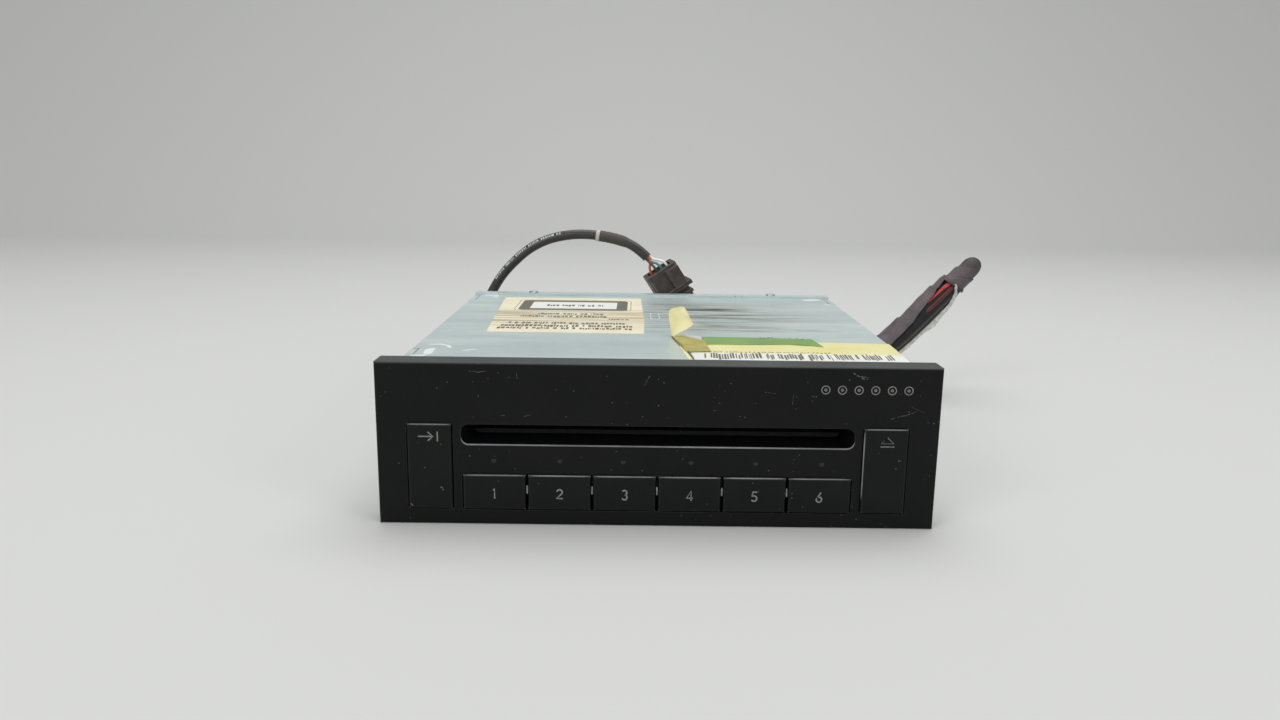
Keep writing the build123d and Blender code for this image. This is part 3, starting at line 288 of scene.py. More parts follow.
# the keys' ABS comes from a smoother mould: darker, a little glossier, its edges polished by fingers;
# its upward faces are lightened as a painted highlight
satinAbs = makeMaterial(
    "satinAbs", colour="#0c0d0e", second="#08090a", patch=12.0, rough=(0.28, 0.42), grain=0.25,
    bump=0.2, gloss=0.2, edge=0.4, rubbed=("#8b8d8f", 0.6), paintedTopSheen=("#868d89", 0.3, 0.0),
    dust=("#666766", 1.9, 0.14))
# nylon housings: matt black, slightly uneven
mattNylon = makeMaterial(
    "mattNylon", colour="#1c1c1d", second="#262627", patch=9.0, rough=(0.45, 0.62), bump=0.4, edge=0.25,
    rubbed=("#6b6863", 0.4), dust=("#8a8782", 1.8, 0.15))
# the loose connector's glass-filled nylon: brown-black with light scuffed ridges
scuffedNylon = makeMaterial(
    "scuffedNylon", colour="#342e2c", second="#4a413e", patch=3.0, rough=(0.4, 0.6), bump=0.6,
    gloss=0.4, edge=0.5, rubbed=("#b0a298", 1.0), dust=("#a89c92", 1.2, 0.25))
# cold-rolled frame steel with bright zinc: a clean silver with a faint drawn grain
platedSteel = makeMaterial(
    "platedSteel", colour="#b9bec0", second="#b0b5b7", patch=14.0, rough=(0.3, 0.42), bump=0.12,
    metallic=1.0, stretch=(1.0, 5.0, 1.0), edge=0.2)
# ground and polished steel rods: bright, with fine rings from the grinding
groundSteel = makeMaterial(
    "groundSteel", colour="#c9cbcc", second="#b8babc", patch=6.0, rough=(0.14, 0.24), grain=0.2,
    bump=0.06, metallic=1.0, stretch=(5.0, 1.0, 1.0))
# nickel-plated steel cans of the motors: warm grey, smooth
nickelCan = makeMaterial(
    "nickelCan", colour="#b3aea5", second="#9f9b94", patch=7.0, rough=(0.22, 0.34), bump=0.08,
    metallic=1.0, edge=0.3)
# turned brass: yellow, with fine cutting marks
turnedBrass = makeMaterial(
    "turnedBrass", colour="#c9a14e", second="#b08a3c", patch=2.0, rough=(0.2, 0.32), grain=0.15,
    bump=0.15, metallic=1.0, edge=0.1)
# pressure die-cast aluminium: pale grey, faintly pitted
castAluminium = makeMaterial(
    "castAluminium", colour="#aaadae", second="#97999b", patch=10.0, rough=(0.4, 0.55), grain=0.5,
    bump=0.3, metallic=1.0, edge=0.25)
# natural acetal: milky white, waxy, lets a little light in
acetal = makeMaterial(
    "acetal", colour="#e6e3da", second="#dcd8cd", patch=5.0, rough=(0.3, 0.4), bump=0.08, ior=1.48,
    edge=0.15)
# nitrile rubber: black with a brown cast, matt, polished where discs rub it
nitrileRubber = makeMaterial(
    "nitrileRubber", colour="#22201e", second="#2d2a27", patch=8.0, rough=(0.55, 0.75), grain=0.25,
    bump=0.5, ior=1.52, dust=("#77736c", 1.5, 0.25))
# smoke-grey polystyrene trays: glossy, dark, slightly clouded
trayStyrene = makeMaterial(
    "trayStyrene", colour="#35383b", second="#2c2f32", patch=18.0, rough=(0.22, 0.34), grain=0.4,
    ior=1.59, edge=0.2)
# black acetal screws and turntable: waxy black
blackAcetal = makeMaterial(
    "blackAcetal", colour="#202122", second="#17181a", patch=6.0, rough=(0.3, 0.42), bump=0.12,
    ior=1.48, edge=0.15)
# wool felt: dull black with loose fibres, drawn coarser than the real 0.02 mm fibres
woolFelt = makeMaterial(
    "woolFelt", colour="#1d1c1c", second="#2e2c2b", patch=1.2, rough=(0.9, 1.0), grain=0.5, bump=1.0,
    ior=1.52, dust=("#6f6b66", 1.0, 0.3))
# black epoxy of the chips: matt, slightly gritty
chipEpoxy = makeMaterial(
    "chipEpoxy", colour="#1b1b1c", second="#232324", patch=4.0, rough=(0.5, 0.62), grain=0.2, bump=0.3,
    edge=0.15)
# tinned brass contact pins
tinnedPin = makeMaterial(
    "tinnedPin", colour="#cfcfca", second="#bdbcb4", patch=2.0, rough=(0.25, 0.35), grain=0.2,
    metallic=1.0, edge=0.1)


# solder-masked circuit board: green lacquer with lighter copper tracks under it
board = {"track": "#3f8a55", "pitch": 6.0, "stretch": (1.0, 1.0, 2.0)}


def makeBoard():
    material = makeMaterial(
        "boardLacquer", colour="#1e5a36", second="#1a4f30", patch=12.0, rough=(0.25, 0.35))
    tree, shader, under, place = openMaterial(material)
    turned = addNode(tree, "Mapping", {"Scale": board["stretch"]}, {"Vector": place})
    cells = {"Scale": 1000 / board["pitch"]}
    cells = addNode(tree, "TexVoronoi", cells, {"Vector": turned}, out="Distance")
    bands = addNode(tree, "Math", {"operation": "PINGPONG", 1: 0.08}, {0: cells})
    track = addNode(tree, "MapRange", {"From Min": 0.05, "From Max": 0.06}, {"Value": bands})
    over = {"data_type": "RGBA", 7: linear(board["track"])}
    colour = addNode(tree, "Mix", over, {0: track, 6: under}, out=2)
    tree.links.new(colour, shader.inputs["Base Color"])
    return material


# electro-galvanised sheet steel with a pale blue passivated zinc coat: cool grey with faint 2 mm
# spangle, fine rolling lines, and the brown-green water stain on the cover
zincCoat = {
    "colour": "#c3d3d3", "second": "#d0dddc", "spangles": "#dfe7e8", "spangle": 2.4,
    "spangleShare": 0.12, "stain": "#746f5a", "stainDark": "#3f443a", "stainShare": 0.85,
    "streak": 4.6, "streakLength": 46.0, "cloud": 35.0,
    "rust": "#5b4a3a", "pits": 1.6, "rustPatch": 28.0,
    # where the stain and the rust start and reach their full share, in metres
    "stainLimits": [("X", -0.014, 0.002), ("X", 0.098, 0.038), ("Y", -0.026, -0.008),
                    ("Y", 0.084, 0.045), ("Z", 0.052, 0.0535)],
    "pitLimits": [("X", 0.015, 0.035), ("Y", -0.02, 0.0), ("Z", 0.052, 0.0535)],
}


def makeZinc():
    material = makeMaterial(
        "galvanisedSteel", colour=zincCoat["colour"], second=zincCoat["second"], patch=22.0,
        rough=(0.34, 0.46), grain=0.5, metallic=0.6, stretch=(0.25, 1.0, 1.0), edge=0.25,
        dust=("#7d857f", 3.0, 0.1))
    tree, shader, colour, place = openMaterial(material)
    part = addNode(tree, "SeparateXYZ", {}, {0: place}, out=None)
    spangle = {"Scale": 1000 / zincCoat["spangle"]}
    spangle = addNode(tree, "TexVoronoi", spangle, {"Vector": place}, out="Color")
    spangle = addNode(tree, "SeparateColor", {}, {0: spangle})
    fainter = {"operation": "MULTIPLY", 1: zincCoat["spangleShare"]}
    spangle = addNode(tree, "Math", fainter, {0: spangle})
    # long streaks along X: few changes per metre along, many across
    scales = (1000 / zincCoat["streakLength"], 1000 / zincCoat["streak"], 40.0)
    along = addNode(tree, "Mapping", {"Scale": scales}, {"Vector": place})
    streaks = {"Scale": 1.0, "Detail": 4.0, "Roughness": 0.65}
    streaks = addNode(tree, "TexNoise", streaks, {"Vector": along})
    mask = addNode(tree, "MapRange", {"From Min": 0.3, "From Max": 0.64}, {"Value": streaks})
    clouds = {"Scale": 1000 / zincCoat["cloud"], "Detail": 5.0}
    clouds = addNode(tree, "TexNoise", clouds, {"Vector": place})
    cloudy = {"From Min": 0.3, "From Max": 0.55, "To Min": 0.55}
    clouds = addNode(tree, "MapRange", cloudy, {"Value": clouds})
    factors = []
    for axis, first, last in zincCoat["stainLimits"]:
        reach = {"From Min": first, "From Max": last, "interpolation_type": "SMOOTHSTEP"}
        factors.append(addNode(tree, "MapRange", reach, {"Value": part.outputs[axis]}))
    for factor in (*factors, clouds):
        mask = addNode(tree, "Math", {"operation": "MULTIPLY"}, {0: mask, 1: factor})
    light = {"operation": "MULTIPLY", 1: zincCoat["stainShare"]}
    light = addNode(tree, "Math", light, {0: mask})
    deep = addNode(tree, "Math", {"operation": "POWER", 1: 3.0}, {0: mask})
    # rust pin-holes, closer together towards the right rear
    pits = {"Scale": 1000 / zincCoat["pits"]}
    pits = addNode(tree, "TexVoronoi", pits, {"Vector": place}, out="Distance")
    pits = addNode(tree, "MapRange", {"From Min": 0.2, "From Max": 0.1}, {"Value": pits})
    region = addNode(tree, "TexNoise", {"Scale": 1000 / zincCoat["rustPatch"]}, {"Vector": place})
    factors = [addNode(tree, "MapRange", {"From Min": 0.52, "From Max": 0.62}, {"Value": region})]
    for axis, first, last in zincCoat["pitLimits"]:
        reach = {"From Min": first, "From Max": last}
        factors.append(addNode(tree, "MapRange", reach, {"Value": part.outputs[axis]}))
    for factor in factors:
        pits = addNode(tree, "Math", {"operation": "MULTIPLY"}, {0: pits, 1: factor})
    for over, share in ("spangles", spangle), ("stain", light), ("stainDark", deep), ("rust", pits):
        over = {"data_type": "RGBA", 7: linear(zincCoat[over])}
        colour = addNode(tree, "Mix", over, {0: share, 6: colour}, out=2)
    tree.links.new(colour, shader.inputs["Base Color"])
    dull = shader.inputs["Roughness"].links[0].from_socket
    rougher = {"operation": "MULTIPLY_ADD", 1: 0.3}
    rougher = addNode(tree, "Math", rougher, {0: mask, 2: dull})
    tree.links.new(rougher, shader.inputs["Roughness"])
    metal = addNode(tree, "MapRange", {"To Min": 0.6, "To Max": 0.2}, {"Value": mask})
    tree.links.new(metal, shader.inputs["Metallic"])
    return material


boardLacquer = makeBoard()
galvanisedSteel = makeZinc()

keyNames = [f"disc_key_{number}" for number in range(1, 7)]
trayNames = [f"disc_tray_{number}" for number in range(1, 7)]
corners = ("front_left", "front_right", "rear_left", "rear_right")
screwNames = [f"lift_screw_{corner}" for corner in corners]
nodeFinishes = [
    (mouldedAbs, ["front_bezel"]),
    (satinAbs, ["load_key", "eject_key", *keyNames]),
    (mattNylon, ["key_switches", "pickup_sled", "rear_socket", "harness_plug"]),
    (boardLacquer, ["front_circuit_board", "main_circuit_board"]),
    (chipEpoxy, ["board_components"]),
    (woolFelt, ["dust_felt"]),
    (galvanisedSteel, ["lower_case", "top_cover", "rear_panel"]),
    (platedSteel, ["case_screws", "roller_frame", "deck_plate"]),
    (groundSteel, ["roller_shaft", "deck_pillars", "swing_sleeve", "guide_rod", "feed_screw"]),
    (nitrileRubber, ["roller_sleeves", "lift_belt"]),
    (acetal, ["roller_gear", "loading_idler"]),
    (turnedBrass, ["loading_pinion", "lift_pinion", "swing_pinion"]),
    (nickelCan, ["loading_motor", "lift_motor", "swing_motor", "feed_motor", "spindle_motor"]),
    (blackAcetal, ["disc_guide", "clamp_puck", "turntable", *screwNames]),
    (castAluminium, ["clamp_arm", "play_deck"]),
    (trayStyrene, trayNames),
    (tinnedPin, ["socket_pins"]),
    (scuffedNylon, ["loose_connector"]),
]
for finish, names in nodeFinishes:
    for name in names:
        slots = nodes[name].material_slots
        if slots:
            slots[0].material = finish
        else:
            nodes[name].data.materials.append(finish)
print("finishes on", sum(len(names) for finish, names in nodeFinishes), "nodes")


random = np.random.default_rng(7)


# ---- cords: the routes are the model's own points, in metres
def routeCurve(name, route):
    curve = bpy.data.curves.new(name, "CURVE")
    curve.dimensions = "3D"
    spline = curve.splines.new("NURBS")
    spline.points.add(len(route) - 1)
    spline.points.foreach_set("co", [value for point in route for value in (*point, 1.0)])
    spline.order_u = 3
    spline.use_endpoint_u = True
    spline.resolution_u = 24
    return bpy.data.objects.new(name, curve)


def routeLine(route):
    # the spline's own points, in mm
    guide = routeCurve("guide", route)
    mesh = bpy.data.meshes.new_from_object(guide)
    line = np.empty(len(mesh.vertices) * 3, np.float32)
    mesh.vertices.foreach_get("co", line)
    bpy.data.objects.remove(guide)
    bpy.data.meshes.remove(mesh)
    return line.reshape(-1, 3).astype(float) / mm


# black PVC jacket: smooth, glossy on top, with the mauve cast of old plasticiser
pvcJacket = makeMaterial(
    "pvcJacket", colour="#2a2628", second="#383235", patch=9.0, rough=(0.26, 0.42), grain=0.8,
    bump=0.25, ior=1.53, dust=("#8b8488", 1.6, 0.18))
# heat-shrunk sleeve: duller and browner than the jacket under it
shrinkSleeve = makeMaterial(
    "shrinkSleeve", colour="#34302e", second="#453f3a", patch=5.0, rough=(0.42, 0.58), grain=0.6,
    bump=0.5, dust=("#988f86", 1.4, 0.2))
sleeveRing = makeMaterial(
    "ringTape", colour="#c9c6c0", second="#a8a49c", patch=1.5, rough=(0.5, 0.6), bump=0.3)

cable = {
    "route": [
        (0.0537, 0.1040, 0.0130), (0.0430, 0.1040, 0.0130), (0.0300, 0.1048, 0.0104),
        (0.0140, 0.1066, 0.0052), (-0.0060, 0.1094, 0.0029), (-0.0280, 0.1116, 0.0028),
        (-0.0500, 0.1123, 0.0027), (-0.0701, 0.1120, 0.0030), (-0.0829, 0.1116, 0.0099),
        (-0.0905, 0.1112, 0.0224), (-0.0910, 0.1108, 0.0371), (-0.0852, 0.1104, 0.0514),
        (-0.0768, 0.1098, 0.0645), (-0.0604, 0.1089, 0.0788), (-0.0394, 0.1076, 0.0839),
        (-0.0189, 0.1052, 0.0815), (-0.0082, 0.1030, 0.0773), (-0.0026, 0.1016, 0.0720),
    ],
    "length": 0.282,
    "diameter": 0.005,
    "sleeve": (-28.5, -13.0),  # mm across, where the sleeve starts and ends on the far half
    "sleeveRadius": 2.85,
    "sleeveTaper": 0.3,
    "ringRadius": 2.95,
}
cablePiece = routeCurve("signalCable", cable["route"])
cablePiece.data.bevel_depth = cable["diameter"] / 2
cablePiece.data.bevel_resolution = 6
cablePiece.data.use_fill_caps = True
cablePiece.data.materials.append(pvcJacket)
scene.collection.objects.link(cablePiece)
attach(cablePiece, "root")
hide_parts("signal_cable")

cableLine = evenLine(routeLine(cable["route"]), 600)
far = np.arange(600) > 360
sleeveFrom, sleeveTo = [int(np.argmax(far & (cableLine[:, 0] > limit))) for limit in cable["sleeve"]]
sleeveLine = evenLine(cableLine[sleeveFrom:sleeveTo], 60)
share = np.linspace(0, 1, 60)
sleeveEnds = np.interp(share, (0.0, 0.06, 0.85, 1.0), (1.0, 0.0, 0.0, 1.0))
sleeveRadius = cable["sleeveRadius"] - cable["sleeveTaper"] * sleeveEnds
sleeveRadius += 0.05 * np.sin(share * 40) * np.sin(share * 7)
sleeveShape = tubeShape(sleeveLine, sleeveRadius, 28)
sleevePiece = makePiece("cableSleeve", [sleeveShape], shrinkSleeve)
ringLine = evenLine(cableLine[sleeveFrom - 2 : sleeveFrom + 3], 6)
ringShape = tubeShape(ringLine, cable["ringRadius"], 28)
ringPiece = makePiece("cableRing", [ringShape], sleeveRing)

# white ink along the arch: short bars in groups that stand for print without being any lettering
whiteInk = makeMaterial("whiteInk", colour="#d6dad6", second="#a9b0ab", patch=1.5, rough=(0.45, 0.6))
cablePrint = {
    "span": (-81.0, -46.5),  # mm across, on the far half
    "middle": 44.0, "halfWidth": 15.0,  # degrees round the cable
    "radius": 2.54, "thickness": 0.08,
}
printFrom, printTo = [int(np.argmax(far & (cableLine[:, 0] > end))) for end in cablePrint["span"]]
printLine = evenLine(cableLine[printFrom:printTo], 400)
printAngle = cablePrint["middle"] + cablePrint["halfWidth"] * np.linspace(-1, 1, 6)[None]
printSurface = printLine[:, None] + aroundLine(printLine, np.radians(printAngle)) * cablePrint["radius"]
printShapes, start, letter = [], 2, 0
while start < 390:
    end = start + int(random.integers(4, 9))
    printShapes.append(slabShape(printSurface[start:end], cablePrint["thickness"]))
    letter += 1
    start = end + (12 if letter % 7 == 0 else int(random.integers(2, 5)))
printPiece = makePiece("cablePrint", printShapes, whiteInk)

wires = {
    "colours": ("#b5612a", "#3a2f2c", "#4f9a97", "#eeede7"),
    "names": ("orangeWire", "brownWire", "tealWire", "whiteWire"),
    "diameter": 1.3,
    "ring": 1.3,
    "stub": 2.4,
    "twist": 45.0,
    "pitch": 3.0,
    "landing": 7.5,
    "rise": 3.9,
    "connectorPlace": (8.2, 99.5, 59.0),
    "connectorTurns": (11.0, -33.0),
}
tip, before = [np.array(point) / mm for point in (cable["route"][-1], cable["route"][-2])]
ahead = (tip - before) / np.linalg.norm(tip - before)
sideways = np.cross(ahead, [0.0, 1.0, 0.0])
sideways /= np.linalg.norm(sideways)
across = np.cross(ahead, sideways)
yaw, lean = [math.radians(angle) for angle in wires["connectorTurns"]]
turns = Matrix.Rotation(yaw, 4, "Z") @ Matrix.Rotation(lean, 4, "Y")
toFrame = Matrix.Translation(wires["connectorPlace"]) @ turns
wirePieces = []
for index, (name, hexColour) in enumerate(zip(wires["names"], wires["colours"])):
    angle = math.radians(wires["twist"] + index * 90)
    out = (sideways * math.cos(angle) + across * math.sin(angle)) * wires["ring"]
    landingX = (index - 1.5) * wires["pitch"]
    landingY = wires["pitch"] / 3 * (-1) ** index
    last, third = [
        np.array(toFrame @ Matrix.Translation((landingX, landingY, height)).to_translation())
        for height in (wires["landing"], wires["landing"] + wires["rise"])
    ]
    first = tip + out - ahead * 1.5
    second = tip + out + ahead * wires["stub"]
    wireLine = routeLine([tuple(point * mm) for point in (first, second, third, last)])
    # PVC wire insulation: glossy
    insulation = makeMaterial(
        name + "Pvc", colour=hexColour, second=hexColour, patch=2.0, rough=(0.28, 0.38), grain=0.5,
        ior=1.53)
    shape = tubeShape(evenLine(wireLine, 40), wires["diameter"] / 2, 14)
    wirePieces.append(makePiece(name, [shape], insulation))
for piece in wirePieces:
    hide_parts("connector_wires")
print("signal cable laid")

# cotton cloth tape round the power bundle: mauve-brown, its warp 0.4 mm apart drawn at 0.8 mm
bundle = {
    "route": [
        (0.0759, 0.1035, 0.0138), (0.0900, 0.1035, 0.0138), (0.1030, 0.1044, 0.0154),
        (0.1158, 0.1060, 0.0196), (0.1274, 0.1076, 0.0266), (0.1382, 0.1090, 0.0366),
        (0.1494, 0.1100, 0.0484), (0.1610, 0.1105, 0.0600), (0.1724, 0.1110, 0.0719),
    ],
    "length": 0.118,
    "diameter": 0.014,
    "radius": 7.0,
    "wrapRadius": 5.5,
    "tipRadius": 4.4,
    "wrapFrom": 0.845,  # share of the length where the tape closes again
    # angle round the bundle, degrees from the front, of the tape's lower edge along the length
    "edgeAt": (0.0, 0.45, 0.59, 0.68, 0.75, 0.83, 0.86, 1.0),
    "edge": (-14.0, 10.0, 20.0, 31.0, 43.0, 63.0, -172.0, -176.0),
    "backEdge": 205.0,
    "lapPitch": 24.0,
    "lapStep": 0.7,
    "tapeThickness": 0.5,
    "tapeDepth": 0.55,  # from the tape's face to the strands
    "thread": 0.8,
    "tipDarkening": (0.106, 0.1165, 0.7, "#2a2020"),  # metres along where it starts and is full, share, colour
}
clothTape = makeMaterial(
    "clothTape", colour="#4d4548", second="#6b6164", patch=8.0, rough=(0.5, 0.72), grain=0.8, bump=0.7,
    dust=("#a39a9d", 1.3, 0.22))
tree, shader, cleanTape = openMaterial(clothTape)[:3]
weave = addNode(tree, "UVMap", {"uv_map": "surface"})
threads = {}
for index, direction in enumerate("YX"):
    bands = {"wave_type": "BANDS", "bands_direction": direction, "Distortion": 0.6}
    bands["Scale"] = 1000 / bundle["thread"] / 6.283
    threads[index] = addNode(tree, "TexWave", bands, {"Vector": weave}, out="Fac")
threads = addNode(tree, "Math", {"operation": "ADD"}, threads)
relief = addNode(tree, "Bump", {"Strength": 0.5, "Distance": 0.00012}, {"Height": threads}, out=None)
tree.links.new(shader.inputs["Normal"].links[0].from_socket, relief.inputs["Normal"])
tree.links.new(relief.outputs[0], shader.inputs["Normal"])
# the tape's last centimetre darkens towards the tip
alongTape = addNode(tree, "SeparateXYZ", {}, {0: weave}, out="X")
darkFrom, darkTo, darkShare, darkColour = bundle["tipDarkening"]
tipDarkening = {"From Min": darkFrom, "From Max": darkTo, "To Max": darkShare}
tipDarkening = addNode(tree, "MapRange", tipDarkening, {"Value": alongTape})
over = {"data_type": "RGBA", 7: linear(darkColour)}
darkenedTape = addNode(tree, "Mix", over, {0: tipDarkening, 6: cleanTape}, out=2)
tree.links.new(darkenedTape, shader.inputs["Base Color"])
# fleece and PVC inside the opened wrap: dead black, partly their own colour and partly painted shade of
# the bundle's shadowed underside; the strands keep their bright insulation
fleeceAndShadeBlack = makeMaterial(
    "fleeceAndShadeBlack", colour="#0e0d0d", second="#181616", patch=3.0, rough=(0.6, 0.85), grain=0.6,
    bump=0.8)
redPvc = makeMaterial(
    "redPvc", colour="#b3262b", second="#cf3b3c", patch=4.0, rough=(0.26, 0.4), grain=0.5, bump=0.15,
    ior=1.53)
darkRedPvc = makeMaterial(
    "darkRedPvc", colour="#4a1014", second="#5f171b", patch=4.0, rough=(0.3, 0.45), grain=0.5,
    bump=0.15, ior=1.53)
# adhesive side of the torn tape: whitish, frayed
tornCloth = makeMaterial(
    "tornCloth", colour="#dcdbd6", second="#b9b7b2", patch=1.6, rough=(0.6, 0.8), grain=0.5, bump=0.8)

bundlePath = routeLine(bundle["route"])
bundleLine = evenLine(bundlePath, 260)
share = np.linspace(0, 1, 260)
length = np.linalg.norm(np.diff(bundleLine, axis=0), axis=1).sum()
across = np.linspace(0, 1, 90)
lowEdge = np.interp(share, bundle["edgeAt"], bundle["edge"])
lowEdge += 1.6 * np.sin(share * 61) * np.sin(share * 23) * (share < bundle["wrapFrom"])
angle = np.radians(lowEdge[:, None] + (bundle["backEdge"] - lowEdge[:, None]) * across[None])
# radius of the tape: a straight run, a step down to the wrap, a taper to the tip, and a round end
wrapped = 1 / (1 + np.exp(-(share - bundle["wrapFrom"]) / 0.006))
taper = np.interp(share, (bundle["wrapFrom"], 0.96), (0.0, 1.0))
radius = bundle["radius"] * (1 - wrapped) + wrapped * (
    bundle["wrapRadius"] + (bundle["tipRadius"] - bundle["wrapRadius"]) * taper
)
endPart = np.clip((share - 0.955) / 0.045, 0, 1)
radius = radius * np.sqrt(np.clip(1 - endPart**2, 0.0009, 1))
# laps of the spiral winding: a saw-tooth step in radius along a helix
along = share[:, None] * length
pitch = np.where(share[:, None] < bundle["wrapFrom"], bundle["lapPitch"], 7.5)
turn = (along + 3.5 * np.sin(angle) + 2.0 * angle / np.pi) / pitch
saw = turn - np.floor(turn)
step = bundle["lapStep"] * (saw - 0.5) * np.clip((0.97 - share[:, None]) * 30, 0, 1)
wrinkle = 0.14 * np.sin(along * 0.55 + angle * 2.0) * np.sin(along * 0.23 - angle)
wrinkle *= 1 - endPart[:, None]
lapped = np.where(share[:, None] > bundle["wrapFrom"], 0.4 * (across - 0.5), 0)
reach = np.maximum(radius[:, None] + step + wrinkle + lapped, 0.15)
tapeUv = np.stack([np.broadcast_to(along, angle.shape), angle * bundle["radius"]], axis=-1)
tapeSurface = bundleLine[:, None] + aroundLine(bundleLine, angle) * reach[..., None]
tapeShape = gridShape(tapeSurface, uv=tapeUv)
tapePiece = makePiece("bundleTape", [tapeShape], clothTape, closed=False)
shell = tapePiece.modifiers.new("thickness", "SOLIDIFY")
shell.thickness = bundle["tapeThickness"] * mm
shell.offset = -1.0

# the opened core: a fleece tube with shallow grooves where its strands lie, in the black that is partly
# painted shade
core = {"at": (0, 0.8, 0.86, 0.93), "radius": (6.0, 6.0, 4.4, 3.4), "groove": 0.28}
coreShare = np.linspace(0, core["at"][-1], 220)
coreLine = resample(bundleLine, share, coreShare)
coreAngle = np.linspace(0, 2 * np.pi, 72, endpoint=False)[None]
groove = core["groove"] * np.abs(np.cos(3.5 * coreAngle + 1.4 * coreShare[:, None]))
coreReach = np.interp(coreShare, core["at"], core["radius"])[:, None] + groove
coreSurface = coreLine[:, None] + aroundLine(coreLine, coreAngle) * coreReach[..., None]
coreShape = gridShape(coreSurface, wrap=True, caps=True)
corePiece = makePiece("bundleCore", [coreShape], fleeceAndShadeBlack)


def strandShape(start, end, middleAngle, drift, radius):
    # a wire along the bundle at a slowly turning angle, half sunk into the core, out of which it rises
    part = np.linspace(start, end, 90)
    middle = resample(bundleLine, share, part)
    turned = np.radians(middleAngle + drift * (part - start) / (end - start))
    out = bundle["radius"] - bundle["tapeDepth"] - radius - np.interp(part, (0.8, 0.87), (0.0, 1.5))
    out -= np.interp(part, (start, start + 0.09), (2.0, 0.0))
    return tubeShape(middle + aroundLine(middle, turned[:, None])[:, 0] * out[:, None], radius, 18)


# share of the length where the strand starts and ends, angle at its start, drift and radius
strands = {
    "redStrand": (redPvc, [(0.62, 0.9, 44.0, -10.0, 1.5)]),
    "darkRedStrand": (darkRedPvc, [(0.6, 0.9, 8.0, -2.0, 1.5)]),
    "blackStrands": (pvcJacket, [(0.1, 0.9, -34.0, 8.0, 1.6), (0.1, 0.9, -64.0, 4.0, 1.6)]),
}
redPiece, darkRedPiece, blackPiece = [
    makePiece(name, [strandShape(*run) for run in runs], insulation)
    for name, (insulation, runs) in strands.items()
]

# torn edge of the tape: a ragged fin that stands out along the underside and climbs to the wrap
torn = {
    # degrees round the bundle and mm out from it, at shares of the length
    "angleAt": (0.42, 0.66, 0.76, 0.82, 0.845), "angle": (-64.0, -62.0, -50.0, -16.0, 14.0),
    "widthAt": (0.42, 0.6, 0.66, 0.71, 0.8, 0.845), "width": (0.9, 1.1, 2.5, 1.7, 1.0, 0.7),
    "radius": 6.5, "thickness": 0.35, "rag": 0.35, "fibres": 0.12,
}
tornShare = np.linspace(torn["angleAt"][0], torn["angleAt"][-1], 170)
tornLine = resample(bundleLine, share, tornShare)
tornMiddle = np.interp(tornShare, torn["angleAt"], torn["angle"])
tornWidth = np.interp(tornShare, torn["widthAt"], torn["width"])
rag = np.cumsum(random.normal(0, 1, (170, 2)), axis=0)
rag -= np.linspace(0, 1, 170)[:, None] * rag[-1]
rag = rag / np.abs(rag).max(axis=0) * torn["rag"] + random.normal(0, torn["fibres"], (170, 2))
tornPart = np.linspace(0, 1, 6)[None]
tornAngle = np.radians(tornMiddle[:, None] + rag[:, 1:] * 6.0 - tornPart * 8.0)
tornReach = torn["radius"] + tornPart * np.maximum(tornWidth[:, None] + 0.5 + rag[:, :1], 0.6)
tornSurface = gridShape(tornLine[:, None] + aroundLine(tornLine, tornAngle) * tornReach[..., None])
tornPiece = makePiece("tornEdge", [tornSurface], tornCloth, closed=False)
fray = tornPiece.modifiers.new("thickness", "SOLIDIFY")
fray.thickness = torn["thickness"] * mm

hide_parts("power_bundle")
print("power bundle laid")


# ---- front: numerals, signs and small lights
# pad-printed ink: thin, matt light grey
padInk = makeMaterial("padInk", colour="#868682", second="#757570", patch=1.5, rough=(0.5, 0.6))
wornInk = makeMaterial("wornInk", colour="#7d7b76", second="#4d4b48", patch=0.9, rough=(0.5, 0.6))
numerals = {
    "height": 3.6,
    "stroke": 0.5,
    "pitch": 21.88,
    "middle": 11.3,
    "face": -90.0,
    # pen paths on a cap height of 1, from the middle of the foot: straight runs and arcs
    "paths": {
        1: [[(-0.14, 0.8), (0.0, 0.97), (0.0, 0.0)]],
        2: [[*arcPath((0.0, 0.7), 0.25, 170, -42).tolist(), (-0.28, 0.07), (0.3, 0.07)]],
        3: [arcPath((0.0, 0.73), 0.22, 150, -90), arcPath((0.0, 0.27), 0.24, 90, -155)],
        4: [[(0.16, 0.0), (0.16, 0.95), (-0.27, 0.27), (0.32, 0.27)]],
        5: [[(0.26, 0.94), (-0.13, 0.94), (-0.2, 0.56),
             *arcPath((-0.02, 0.31), 0.26, 118, -150).tolist()]],
        6: [arcPath((0.0, 0.28), 0.25, 0, 360, 32), [(-0.22, 0.4), (0.17, 0.98)]],
    },
}
for number, paths in numerals["paths"].items():
    height = numerals["height"]
    foot = ((number - 3.5) * numerals["pitch"], numerals["middle"] - height / 2)
    strokes = [strokeShape(np.array(path) * height + foot, numerals["stroke"], numerals["face"])
               for path in paths]
    makePiece(f"numeral{number}", strokes, padInk, f"disc_key_{number}", smooth=False)

signs = {
    "face": -90.0,
    "stroke": 0.42,
    # an arrow into a bar, and a triangle over a bar: ink, middle and pen paths round it
    "keys": {
        "load": (padInk, (-76.4, 31.0), [
            [(-3.4, 0.0), (1.4, 0.0)], [(-0.2, 1.5), (1.5, 0.0), (-0.2, -1.5)],
            [(3.0, -1.7), (3.0, 1.7)]]),
        "eject": (wornInk, (76.6, 30.8), [
            [(-2.1, -0.4), (0.0, 1.6), (2.1, -0.4), (-2.1, -0.4), (0.0, 1.6)],
            [(-2.3, -1.5), (2.3, -1.5)]]),
    },
}
for key, (ink, middle, paths) in signs["keys"].items():
    shapes = [strokeShape(np.array(path) + middle, signs["stroke"], signs["face"]) for path in paths]
    makePiece(key + "Sign", shapes, ink, key + "_key", smooth=False)

